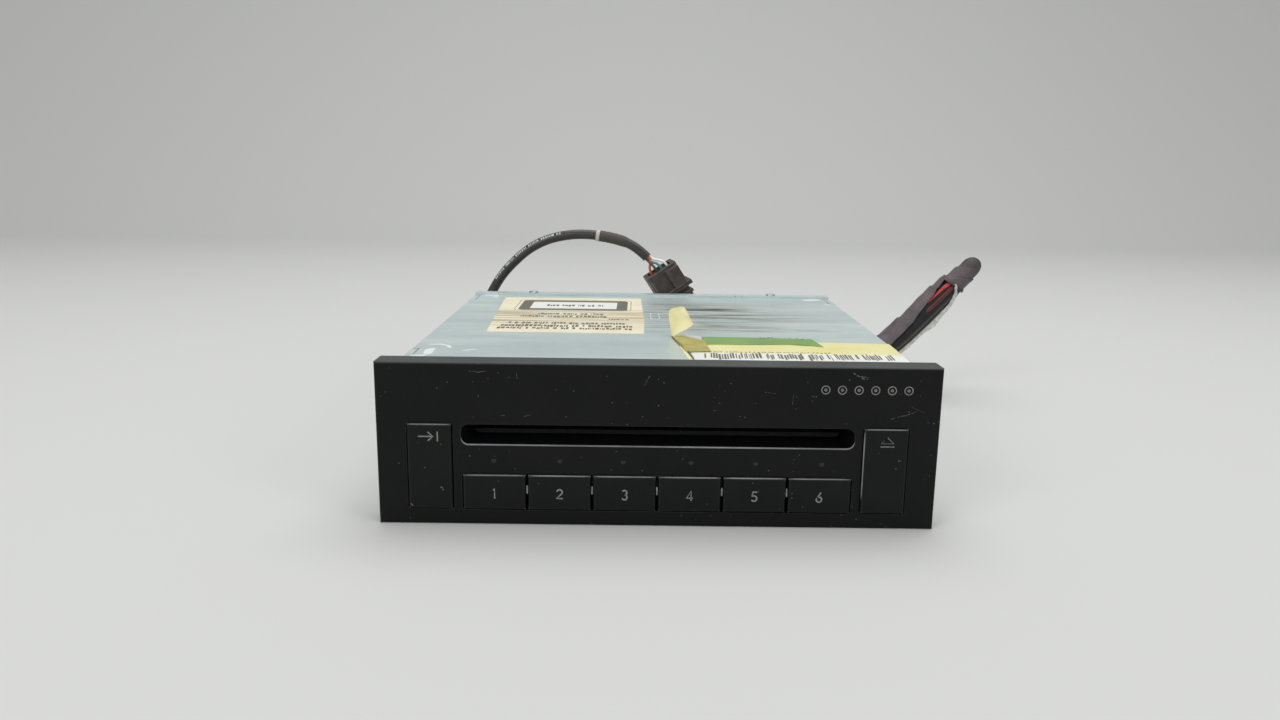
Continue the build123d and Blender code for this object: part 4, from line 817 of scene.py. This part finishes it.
# six small rings in a row stand where the front's right-hand text is
rings = {"first": 55.2, "pitch": 5.5, "z": 48.4, "radii": (1.35, 0.35), "stroke": 0.3, "face": -89.2}
ringShapes = []
for index in range(6):
    place = (rings["first"] + index * rings["pitch"], rings["z"])
    for size in rings["radii"]:
        ringShapes.append(strokeShape(arcPath(place, size, 0, 360, 36), rings["stroke"], rings["face"]))
makePiece("discRow", ringShapes, padInk, smooth=False)

# smoked polycarbonate lenses over the disc lights: nearly black, flush, glossier than the front
smokedLens = makeMaterial(
    "smokedPolycarbonate", colour="#121212", second="#1b1b1b", patch=1.0, rough=(0.34, 0.42), bump=0.05,
    gloss=0.35, ior=1.58)
lights = {
    "x": (-54.9, -32.7, -11.5, 11.3, 33.0, 55.2), "z": 22.5, "width": 1.9, "height": 1.3, "rise": 0.12,
    "face": -89.2,
}


def lensShape(x):
    # a rounded wedge, wide at the top, whose height falls off with the square of the radius
    part = np.linspace(0.02, 1, 8)[:, None]
    angle = np.linspace(0, 2 * np.pi, 28, endpoint=False)[None]
    wedge = 1 + 0.28 * np.sin(angle) - 0.16 * np.cos(2 * angle)
    flatX = x + part * np.cos(angle) * lights["width"] / 2 * wedge
    flatZ = lights["z"] + part * np.sin(angle) * lights["height"] / 2
    flatY = lights["face"] - lights["rise"] * (1 - part**2) + 0 * angle
    domed = np.stack([flatX, flatY, flatZ], axis=-1)
    back = domed[-1:] + (0.0, 0.15, 0.0)
    return gridShape(np.concatenate([domed, back]), wrap=True, caps=True)


lensShapes = [lensShape(x) for x in lights["x"]]
makePiece("discLights", lensShapes, smokedLens)

# light grey ribs in the gaps between the disc keys, and the bright lip under the slot: both painted
# highlights
posts = {"z": (11.0, 14.1), "y": -89.35, "radius": 0.3, "pitch": 21.88}
# painted highlight: light grey for the ribs between the keys; the same grey also draws the real
# scratches on the load and eject keys
gapHighlightAndScratchGrey = makeMaterial(
    "paintedGapHighlightAndScratch", colour="#8e8f8d", second="#6c6d6c", patch=1.2, rough=(0.2, 0.3), bump=0.2,
    ior=1.49)
postShapes = []
for index in range(-2, 3):
    ends = np.array([[index * posts["pitch"], posts["y"], z] for z in np.linspace(*posts["z"], 12)])
    swell = posts["radius"] * np.sqrt(np.clip(1 - np.linspace(-1, 1, 12) ** 8, 0.02, 1))
    postShapes.append(tubeShape(ends, swell, 12))
makePiece("keyGapHighlights", postShapes, gapHighlightAndScratchGrey)

slotLip = {"half": 65.8, "z": 28.1, "corner": 2.6, "y": -89.15, "radius": 0.28}
# light grey ABS for the slot lip and the key edges: a painted highlight where these edges catch the
# light
highlightBeadAbs = makeMaterial(
    "paintedHighlightAbs", colour="#66686a", second="#86888a", patch=16.0, rough=(0.16, 0.24), grain=0.4)
half, corner = slotLip["half"], slotLip["corner"]
leftArc = arcPath((-half + corner, slotLip["z"] + corner), corner, 185, 270, 10)
rightArc = arcPath((half - corner, slotLip["z"] + corner), corner, 270, 355, 10)
lipPath = np.concatenate([leftArc, rightArc])
lipLine = np.stack([lipPath[:, 0], np.full(len(lipPath), slotLip["y"]), lipPath[:, 1]], axis=1)
lipFade = slotLip["radius"] * np.interp(np.arange(len(lipPath)), (0, 6, 13, 19), (0.2, 1, 1, 0.2))
makePiece("slotLip", [tubeShape(lipLine, lipFade, 12)], highlightBeadAbs)

# the keys' upper edges and the eject key's left edge, as light grey beads: a painted highlight along
# the rounded edges
keyEdges = {"radius": 0.22, "y": -89.86, "half": 10.1, "top": 17.62, "sideTop": 35.12, "sideFoot": 10.4,
            "load": (-83.2, -69.4), "eject": (69.4, 83.2)}


def edgeShape(first, last):
    # a fine bead between two places on a key's face, thinning out at its ends
    line = np.linspace((first[0], keyEdges["y"], first[1]), (last[0], keyEdges["y"], last[1]), 24)
    part = np.linspace(-1, 1, 24)
    return tubeShape(line, keyEdges["radius"] * np.clip(1.05 - part**8, 0.15, 1), 10)


for number in range(1, 7):
    x = (number - 3.5) * numerals["pitch"]
    ends = (x - keyEdges["half"], keyEdges["top"]), (x + keyEdges["half"], keyEdges["top"])
    makePiece(f"keyEdge{number}", [edgeShape(*ends)], highlightBeadAbs, f"disc_key_{number}")
foot, top = keyEdges["sideFoot"], keyEdges["sideTop"]
left, right = keyEdges["load"]
loadEdge = edgeShape((left, top), (right, top))
makePiece("loadKeyEdge", [loadEdge], highlightBeadAbs, "load_key")
left, right = keyEdges["eject"]
ejectEdges = [edgeShape((left, top), (right, top)),
              edgeShape((left - 0.5, top - 0.6), (left - 0.5, foot))]
makePiece("ejectKeyEdge", ejectEdges, highlightBeadAbs, "eject_key")

# knocks and scratches on the front, paths in mm across and up, with their widths
scuffs = {
    "face": -89.2,
    "lines": [
        ([(-62.5, 53.4), (-60.0, 53.0), (-56.5, 53.3)], 0.25), ([(-47.0, 52.8), (-46.6, 50.8)], 0.2),
        ([(64.0, 53.9), (66.4, 52.9), (68.6, 52.1)], 0.55), ([(66.5, 53.2), (69.2, 52.6)], 0.3),
        ([(77.4, 38.6), (82.0, 40.0), (86.4, 41.6)], 0.2), ([(84.0, 42.9), (88.6, 40.9)], 0.18),
        ([(-3.0, 52.4), (-4.8, 49.0)], 0.22), ([(44.6, 46.6), (44.4, 43.2)], 0.16),
        ([(35.0, 47.4), (38.6, 46.9)], 0.14), ([(50.6, 45.9), (52.4, 46.2)], 0.3),
        ([(83.2, 35.6), (83.4, 33.2)], 0.3), ([(-44.8, 38.0), (-42.4, 38.6)], 0.35),
        ([(-52.4, 38.2), (-50.9, 38.4)], 0.3), ([(-28.4, 46.6), (-27.6, 47.2)], 0.2),
    ],
    "keyLines": {
        "load_key": [([(-72.6, 13.6), (-72.1, 12.9), (-71.9, 12.1)], 0.4),
                     ([(-82.9, 7.4), (-82.4, 6.7)], 0.4)],
        "eject_key": [([(80.6, 24.6), (81.3, 24.4)], 0.35), ([(79.9, 22.0), (80.1, 21.4)], 0.4)],
    },
}
scuffed = makeMaterial(
    "scuffedAbs", colour="#3e3e3e", second="#646362", patch=0.8, rough=(0.55, 0.7), bump=0.6)


def scratchShapes(path, width, face):
    # a scratch: short dabs along the path, each with its own length, width and place across it
    line = evenLine(path, 60)
    shapes, start = [], 0
    while start < 56:
        end = min(start + int(random.integers(4, 12)), 59)
        dab = line[start:end + 1] + random.normal(0, width * 0.25, 2)
        shapes.append(strokeShape(dab, width * random.uniform(0.3, 1.0), face, 0.012))
        start = end + int(random.integers(0, 5))
    return shapes


shapes = [dab for path, width in scuffs["lines"] for dab in scratchShapes(path, width, scuffs["face"])]
makePiece("frontScuffs", shapes, scuffed, smooth=False)
for body, lines in scuffs["keyLines"].items():
    shapes = [dab for path, width in lines for dab in scratchShapes(path, width, numerals["face"])]
    makePiece(body.replace("_key", "KeyScuffs"), shapes, gapHighlightAndScratchGrey, body, smooth=False)
print("front dressed")


# ---- case: screws, labels and marks
screwHeads = {
    "side": {"places": [(-1, -30.0), (-1, 46.0), (1, -30.0), (1, 46.0)], "wall": 89.0, "z": 49.5,
             "radius": 2.7, "height": 1.4},
    "rear": {"places": [(-60.0, 87.0), (60.0, 87.0)], "z": 55.0, "radius": 2.3, "height": 0.9},
    "crossWidth": 0.42,
    "crossReach": 0.62,
    "crossDepth": 0.75,
}


def screwShape(radius, height):
    # height over a polar grid: a flattened dome, minus a cross whose arms fade out towards the rim;
    # the last rows go down the rim to the seat
    part = np.concatenate([np.linspace(0.01, 1, 30) ** 0.8, [1.0, 1.0]])[:, None]
    angle = np.linspace(0, 2 * np.pi, 72, endpoint=False)[None]
    flatX, flatY = part * np.cos(angle) * radius, part * np.sin(angle) * radius
    dome = height * (1 - 0.45 * part**4)
    arm = screwHeads["crossWidth"] * radius / 2.7
    distance = np.minimum(np.abs(flatX), np.abs(flatY))
    cross = np.clip((arm - distance) / 0.12 + 0.5, 0, 1)
    cross *= np.clip((screwHeads["crossReach"] - part) / 0.12, 0, 1)
    top = dome - cross * screwHeads["crossDepth"] * height * (1 - part * 0.6)
    top[-2:] = [[height * 0.25], [0.0]]
    return flatX, flatY, top


screwShapes = []
rear, side = screwHeads["rear"], screwHeads["side"]
flatX, flatY, top = screwShape(rear["radius"], rear["height"])
for x, y in rear["places"]:
    screwShapes.append(np.stack([x + flatX, y + flatY, rear["z"] + top], axis=-1))
flatX, flatY, top = screwShape(side["radius"], side["height"])
for sign, y in side["places"]:
    screwShapes.append(np.stack([sign * (side["wall"] + top), y + flatX, side["z"] + flatY], axis=-1))
screwShapes = [gridShape(points, wrap=True, caps=True) for points in screwShapes]
screwPiece = makePiece("screwHeads", screwShapes, platedSteel)
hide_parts("case_screws")

# coated paper, yellowed, with the water stain running through it
paperStain = {"near": (-0.010, 0.004), "far": (0.044, 0.030), "brown": "#8a7a5a", "pitch": 2.4}
agedPaper = makeMaterial(
    "agedPaper", colour="#f0ead2", second="#e2d8b8", patch=26.0, rough=(0.42, 0.55), grain=0.5,
    bump=0.12, dust=("#a4946e", 2.4, 0.2))
tree, shader, under, place = openMaterial(agedPaper)
row = addNode(tree, "SeparateXYZ", {}, {0: place}, out="Y")
scales = (20.0, 1000 / paperStain["pitch"], 1.0)
along = addNode(tree, "Mapping", {"Scale": scales}, {"Vector": place})
streaks = {"Scale": 1.0, "Detail": 4.0, "Roughness": 0.6}
streaks = addNode(tree, "TexNoise", streaks, {"Vector": along})
mask = addNode(tree, "MapRange", {"From Min": 0.44, "From Max": 0.6}, {"Value": streaks})
for first, last in (paperStain["near"], paperStain["far"]):
    edge = addNode(tree, "MapRange", {"From Min": first, "From Max": last}, {"Value": row})
    mask = addNode(tree, "Math", {"operation": "MULTIPLY"}, {0: mask, 1: edge})
mask = addNode(tree, "Math", {"operation": "MULTIPLY", 1: 0.8}, {0: mask})
over = {"data_type": "RGBA", 7: linear(paperStain["brown"])}
stained = addNode(tree, "Mix", over, {0: mask, 6: under}, out=2)
tree.links.new(stained, shader.inputs["Base Color"])

printInk = makeMaterial(
    "offsetInk", colour="#55564e", second="#6e6e62", patch=2.0, rough=(0.5, 0.6), grain=0.4)
whitePaper = makeMaterial(
    "whitePaper", colour="#eceee8", second="#e2e4dc", patch=20.0, rough=(0.4, 0.5), grain=0.5,
    dust=("#9a9484", 3.0, 0.15))
yellowPaper = makeMaterial(
    "yellowPaper", colour="#e9e3a8", second="#ded793", patch=18.0, rough=(0.4, 0.52), grain=0.5,
    bump=0.12)
greenFilm = makeMaterial(
    "greenFilm", colour="#62953a", second="#7ea64b", patch=14.0, rough=(0.3, 0.4), grain=0.5, bump=0.08,
    dust=("#2f4a26", 1.6, 0.2))
# the folded-over paper: its own yellow darkened to olive by painted shade under the lifted flap
foldShadeOlivePaper = makeMaterial(
    "foldedPaperShade", colour="#b3a95c", second="#a0964d", patch=6.0, rough=(0.45, 0.6), grain=0.5,
    bump=0.25)
glueResidue = makeMaterial(
    "glueResidue", colour="#cfcbd2", second="#bdbcc4", patch=3.0, rough=(0.35, 0.6), grain=0.8,
    bump=0.5)
flapPaper = makeMaterial(
    "flapPaper", colour="#efe9b9", second="#e8e1a8", patch=9.0, rough=(0.45, 0.55), grain=0.4,
    bump=0.12)
brownInk = makeMaterial("brownInk", colour="#8b5a45", second="#74503f", patch=1.5, rough=(0.5, 0.6))

surfaceTop = 54.0
dataLabel = {
    "left": [(-67.5, -20.1), (-72.6, 75.3)],
    "right": [(-4.6, -21.1), (-4.3, 10.0), (-5.7, 75.9)],
    "thickness": 0.12,
    "frameOuter": (-62.0, -12.0, 36.4, 66.6),
    "frameInner": (-57.0, -17.0, 41.2, 61.4),
    "corner": 2.5,
    # rows of small print: middle, depth, first and last place across
    "rows": [(26.0, 4.2, -52.0, -22.0), (19.0, 4.2, -59.0, -20.0), (12.4, 3.2, -20.0, -9.5),
             (1.4, 5.0, -62.0, -12.0), (-5.2, 5.6, -64.0, -9.0), (-11.2, 4.6, -65.0, -9.0)],
    "frameRow": (51.0, 5.5, -50.0, -22.0),
}
labelShape = ruledSheet(dataLabel["left"], dataLabel["right"], surfaceTop, dataLabel["thickness"])
makePiece("dataLabel", [labelShape], agedPaper)


def roundedBox(left, right, near, far, corner, count=8):
    # a closed path of four straight runs and four quarter circles
    corners = [(right - corner, far - corner), (left + corner, far - corner),
               (left + corner, near + corner), (right - corner, near + corner)]
    arcs = [arcPath(centre, corner, index * 90, index * 90 + 90, count)
            for index, centre in enumerate(corners)]
    return np.concatenate(arcs)


def frameShape(outer, inner, height, thickness):
    # the flat band between two closed paths with the same number of points
    top = height + thickness
    corners = ((outer, top), (inner, top), (inner, height), (outer, height), (outer, top))
    return gridShape(np.stack([np.insert(path, 2, z, axis=1) for path, z in corners]), wrap=True)


labelTop = surfaceTop + dataLabel["thickness"]
frameBand = frameShape(roundedBox(*dataLabel["frameOuter"], dataLabel["corner"]),
                       roundedBox(*dataLabel["frameInner"], 0.6), labelTop, 0.02)
left, right, near, far = dataLabel["frameInner"]
panelSides = [[(x, near), (x, far)] for x in (left + 0.1, right - 0.1)]
panel = ruledSheet(*panelSides, labelTop, 0.01)
thinBox = roundedBox(left - 6.6, right + 6.6, near - 6.2, far + 6.6, 3.0)
thinLine = strokeShape(np.concatenate([thinBox, thinBox[:1]]), 0.3, labelTop, 0.012, "top")
makePiece("labelFrame", [frameBand, thinLine], printInk, smooth=False)
makePiece("labelPanel", [panel], whitePaper)


def printedRow(y, depth, first, last, height, density=0.62, slant=0.0, fineness=1.0):
    # a row of short bars of uneven width that stand for small print without being any lettering
    widths = random.uniform(0.4, 1.5, int((last - first) / 0.7 / fineness)) * fineness
    gaps = random.uniform(0.2, 0.55, len(widths)) + (random.uniform(0, 1, len(widths)) > 0.86) * 1.3
    starts = first + np.cumsum(widths + gaps) - widths
    shapes = []
    for start, width in zip(starts, widths):
        if start + width > last:
            break
        tall = depth * random.uniform(density, 1.0) / 2
        shift = random.uniform(-0.15, 0.15) * depth
        path = [(start + width / 2, y - tall + shift), (start + width / 2 + slant, y + tall + shift)]
        shapes.append(strokeShape(path, width, height, 0.012, "top"))
    return shapes


rowShapes = []
for y, depth, first, last in dataLabel["rows"]:
    rowShapes += printedRow(y, depth, first, last, labelTop)
rowShapes += printedRow(*dataLabel["frameRow"], labelTop + 0.01)
makePiece("labelRows", rowShapes, printInk, smooth=False)

sideLabel = {
    "yellow": ([(12.2, -44.0), (60.5, -35.3), (89.0, -36.2)],
               [(12.2, -58.0), (47.9, -57.5), (88.4, -59.0)]),
    "white": ([(12.2, -58.0), (47.9, -57.5), (88.4, -59.0)],
              [(11.8, -71.5), (50.0, -72.4), (88.0, -72.6)]),
    "green": ([(18.0, -26.7), (40.0, -27.6), (60.7, -29.3)],
              [(18.6, -42.6), (54.2, -41.0), (62.4, -44.9)]),
    "olive": ([(6.3, -27.6), (8.2, -42.0), (10.6, -58.0)],
              [(10.4, -25.8), (18.3, -35.0), (19.5, -57.0)]),
    "edge": ([(8.6, -46.0), (10.8, -71.0)], [(9.4, -46.0), (12.2, -71.0)]),
    "glue": ([(11.2, -18.9), (13.3, -35.3)], [(18.0, -25.7), (17.6, -35.0)]),
    "creaseShadeLine": [(6.3, -27.6), (8.4, -41.0), (11.4, -58.0), (12.4, -70.5)],
    "dots": (-56.4, 14.5, 62.0, 34),
    "dirt": ((40.5, 57.5), (-31.5, -26.5), 26),
    "bars": (-63.5, 9.5, 16.0, 84.0),
    "thickness": 0.1,
}
thin = sideLabel["thickness"]
# strips of the side label: material, rise above the cover, thickness, columns, rows and ripple
strips = {
    "yellow": ("yellowStrip", yellowPaper, 0.0, thin, 60, 10, 0.08),
    "white": ("whiteStrip", whitePaper, 0.0, thin, 60, 10, 0.08),
    "green": ("greenStrip", greenFilm, 0.2, thin, 50, 10, 0.0),
    "olive": ("foldedStrip", foldShadeOlivePaper, 0.2, 0.25, 40, 12, 0.2),
    "edge": ("stripEdge", flapPaper, 0.0, 0.2, 40, 12, 0.0),
    "glue": ("residue", glueResidue, 0.0, 0.06, 40, 12, 0.0),
}
for key, (name, paper, rise, *rest) in strips.items():
    makePiece(name, [ruledSheet(*sideLabel[key], surfaceTop + rise, *rest)], paper)
# a dark line along the fold: painted shade in the crease
creaseShadeShape = strokeShape(sideLabel["creaseShadeLine"], 0.5, surfaceTop + 0.5, 0.1, "top")
makePiece("creaseShadeLine", [creaseShadeShape], printInk, smooth=False)
y, first, last, count = sideLabel["dots"]
dotX = np.linspace(first, last, count) + random.uniform(-0.4, 0.4, count)
dotShapes = [strokeShape([(x, y + dy), (x + 0.6, y + dy + 0.5)], 0.7, surfaceTop + 0.2, 0.012, "top")
             for x, dy in zip(dotX, random.uniform(-0.5, 0.5, count))]
makePiece("dotRow", dotShapes, brownInk, smooth=False)
(left, right), (near, far), count = sideLabel["dirt"]
dirtX, dirtY = random.uniform(left, right, count), random.uniform(near, far, count)
dirtSize = random.uniform(0.25, 0.75, count)
dirtShapes = [strokeShape([(x, y), (x + size, y + size)], size, surfaceTop + 0.3, 0.012, "top")
              for x, y, size in zip(dirtX, dirtY, dirtSize)]
makePiece("stripDirt", dirtShapes, printInk, smooth=False)
y, depth, first, last = sideLabel["bars"]
barShapes = printedRow(y, depth, first, last, surfaceTop + 0.19, density=0.7, slant=0.4, fineness=0.55)
makePiece("barRow", barShapes, printInk, smooth=False)

# the lifted end of the label: a straight surface between its two torn edges, bellied by 1.2 mm
flap = {
    "left": [(6.3, -27.6, 54.3), (5.6, -26.8, 58.4), (4.9, -25.4, 62.5), (5.2, -24.6, 64.2),
             (6.4, -24.0, 65.0), (9.6, -23.4, 65.6)],
    "right": [(6.7, -27.8, 54.3), (9.2, -28.2, 56.0), (11.6, -28.2, 57.2), (14.6, -27.8, 59.2),
              (12.9, -26.0, 62.3), (11.2, -23.6, 65.3)],
    "belly": 1.2,
    "thickness": 0.14,
}


def flapShape():
    part = np.linspace(0, 1, 40)
    kernel = np.array([0.25, 0.5, 0.25])
    edges = []
    for line in (flap["left"], flap["right"]):
        points = resample(np.array(line), np.linspace(0, 1, len(line)), part)
        for turn in range(2):
            inside = [np.convolve(column, kernel, "valid") for column in points.T]
            points[1:-1] = np.stack(inside, axis=1)
        edges.append(points)
    edges[1][:, 0] += 0.12 * np.sin(part * 47) * np.sin(part * 19)
    across = np.linspace(0, 1, 18)[None, :, None]
    sheet = edges[0][:, None] * (1 - across) + edges[1][:, None] * across
    belly = np.sin(np.pi * across[..., 0]) * np.sin(np.pi * part)[:, None] ** 0.7
    sheet[..., 1] += flap["belly"] * belly
    return slabShape(sheet, flap["thickness"])


makePiece("liftedFlap", [flapShape()], flapPaper)

# white patches on the cover's corners: painted glints where the stamped tabs catch the light
glintAndMarkWhite = makeMaterial(
    "paintedGlintAndMarkZinc", colour="#f2f7f6", second="#e2eae9", patch=3.0, rough=(0.3, 0.45), grain=0.4, bump=0.3,
    metallic=0.2)
glints = [
    ([(-84.9, -48.4), (-80.3, -47.4), (-77.0, -49.8), (-75.1, -54.4)], 1.5),
    ([(-70.0, -59.0), (-67.6, -56.9), (-65.2, -56.3)], 1.1),
    ([(-80.9, -54.9), (-82.0, -58.0), (-81.2, -66.5)], 3.2),
    ([(-86.6, -69.5), (-81.1, -68.0)], 2.4),
    ([(-84.4, 84.2), (-80.0, 83.0), (-77.5, 80.0)], 4.4),
    ([(-79.0, 76.6), (-76.0, 77.0)], 3.0),
    ([(75.0, 78.0), (80.0, 80.0), (84.0, 80.5)], 4.2),
    ([(82.8, 64.4), (86.4, 64.6)], 1.6),
]
glintShapes = []
for path, width in glints:
    swell = width * np.sqrt(np.clip(1 - np.linspace(-1, 1, 24) ** 4, 0.01, 1))
    glintShapes.append(strokeShape(evenLine(path, 24), swell, surfaceTop, 0.015, "top"))
# the same white draws a thin rounded outline near the middle of the rear
ringPath = roundedBox(-1.4, 2.3, 14.8, 32.8, 1.7)
ringPath = np.concatenate([ringPath, ringPath[:1]])
glintShapes.append(strokeShape(ringPath, 0.3, surfaceTop, 0.015, "top"))
makePiece("cornerGlintsAndMark", glintShapes, glintAndMarkWhite, smooth=False)
print("case dressed")


# ---- floor, backdrop and light
studio = {
    "floor": "#cfd0ce", "front": -2.6, "bend": 1.0, "curve": 0.6, "height": 2.4, "half": 3.4,
    "world": 0.55,
    # lamps: place in metres, size in metres, share of a plain surface's light
    "lamps": {
        "overhead": ((0.1, 0.25, 1.25), 1.1, 0.55),
        "frontLeft": ((-0.9, -1.1, 0.9), 0.7, 0.22),
        "frontRight": ((1.0, -0.9, 0.7), 0.6, 0.12),
    },
}
angle = np.linspace(0, np.pi / 2, 24)
bend, curve = studio["bend"], studio["curve"]
bent = np.stack([bend + curve * np.sin(angle), curve * (1 - np.cos(angle))], axis=1)
profile = np.concatenate([[(studio["front"], 0.0)], bent, [(bend + curve, studio["height"])]])
sides = (studio["half"], -studio["half"])
sweep = np.stack([np.insert(profile, 0, side, axis=1) for side in sides], axis=1)
points, quads = gridShape(sweep)[:2]
floorMesh = bpy.data.meshes.new("floor")
floorMesh.from_pydata(points.tolist(), [], quads.tolist())
floorMesh.polygons.foreach_set("use_smooth", [True] * len(floorMesh.polygons))
floorPiece = bpy.data.objects.new("floor", floorMesh)
scene.collection.objects.link(floorPiece)
# matt paper sweep
paperSweep = makeMaterial(
    "paperSweep", colour=studio["floor"], second=studio["floor"], patch=400.0, rough=(0.85, 0.9),
    grain=1.0, bump=0.02)
floorMesh.materials.append(paperSweep)

for name, (place, size, share) in studio["lamps"].items():
    lamp = bpy.data.lights.new(name, "AREA")
    lamp.shape = "SQUARE"
    lamp.size = size
    distance = math.dist(place, (0, 0, 0))
    lamp.energy = share * math.pi**2 * distance**2
    lampObject = bpy.data.objects.new(name, lamp)
    scene.collection.objects.link(lampObject)
    back = np.array(place) / distance
    right = np.cross([0.0, 0.0, 1.0], back)
    right /= np.linalg.norm(right)
    up = np.cross(back, right)
    turned = Matrix(np.stack([right, up, back], axis=1).tolist()).to_4x4()
    lampObject.matrix_world = Matrix.Translation(place) @ turned
world = bpy.data.worlds.new("studio")
world.use_nodes = True
world.node_tree.nodes["Background"].inputs["Color"].default_value = (1.0, 1.0, 1.0, 1.0)
world.node_tree.nodes["Background"].inputs["Strength"].default_value = studio["world"]
scene.world = world
scene.view_settings.view_transform = "Standard"
print("studio lit")

bpy.context.view_layer.update()
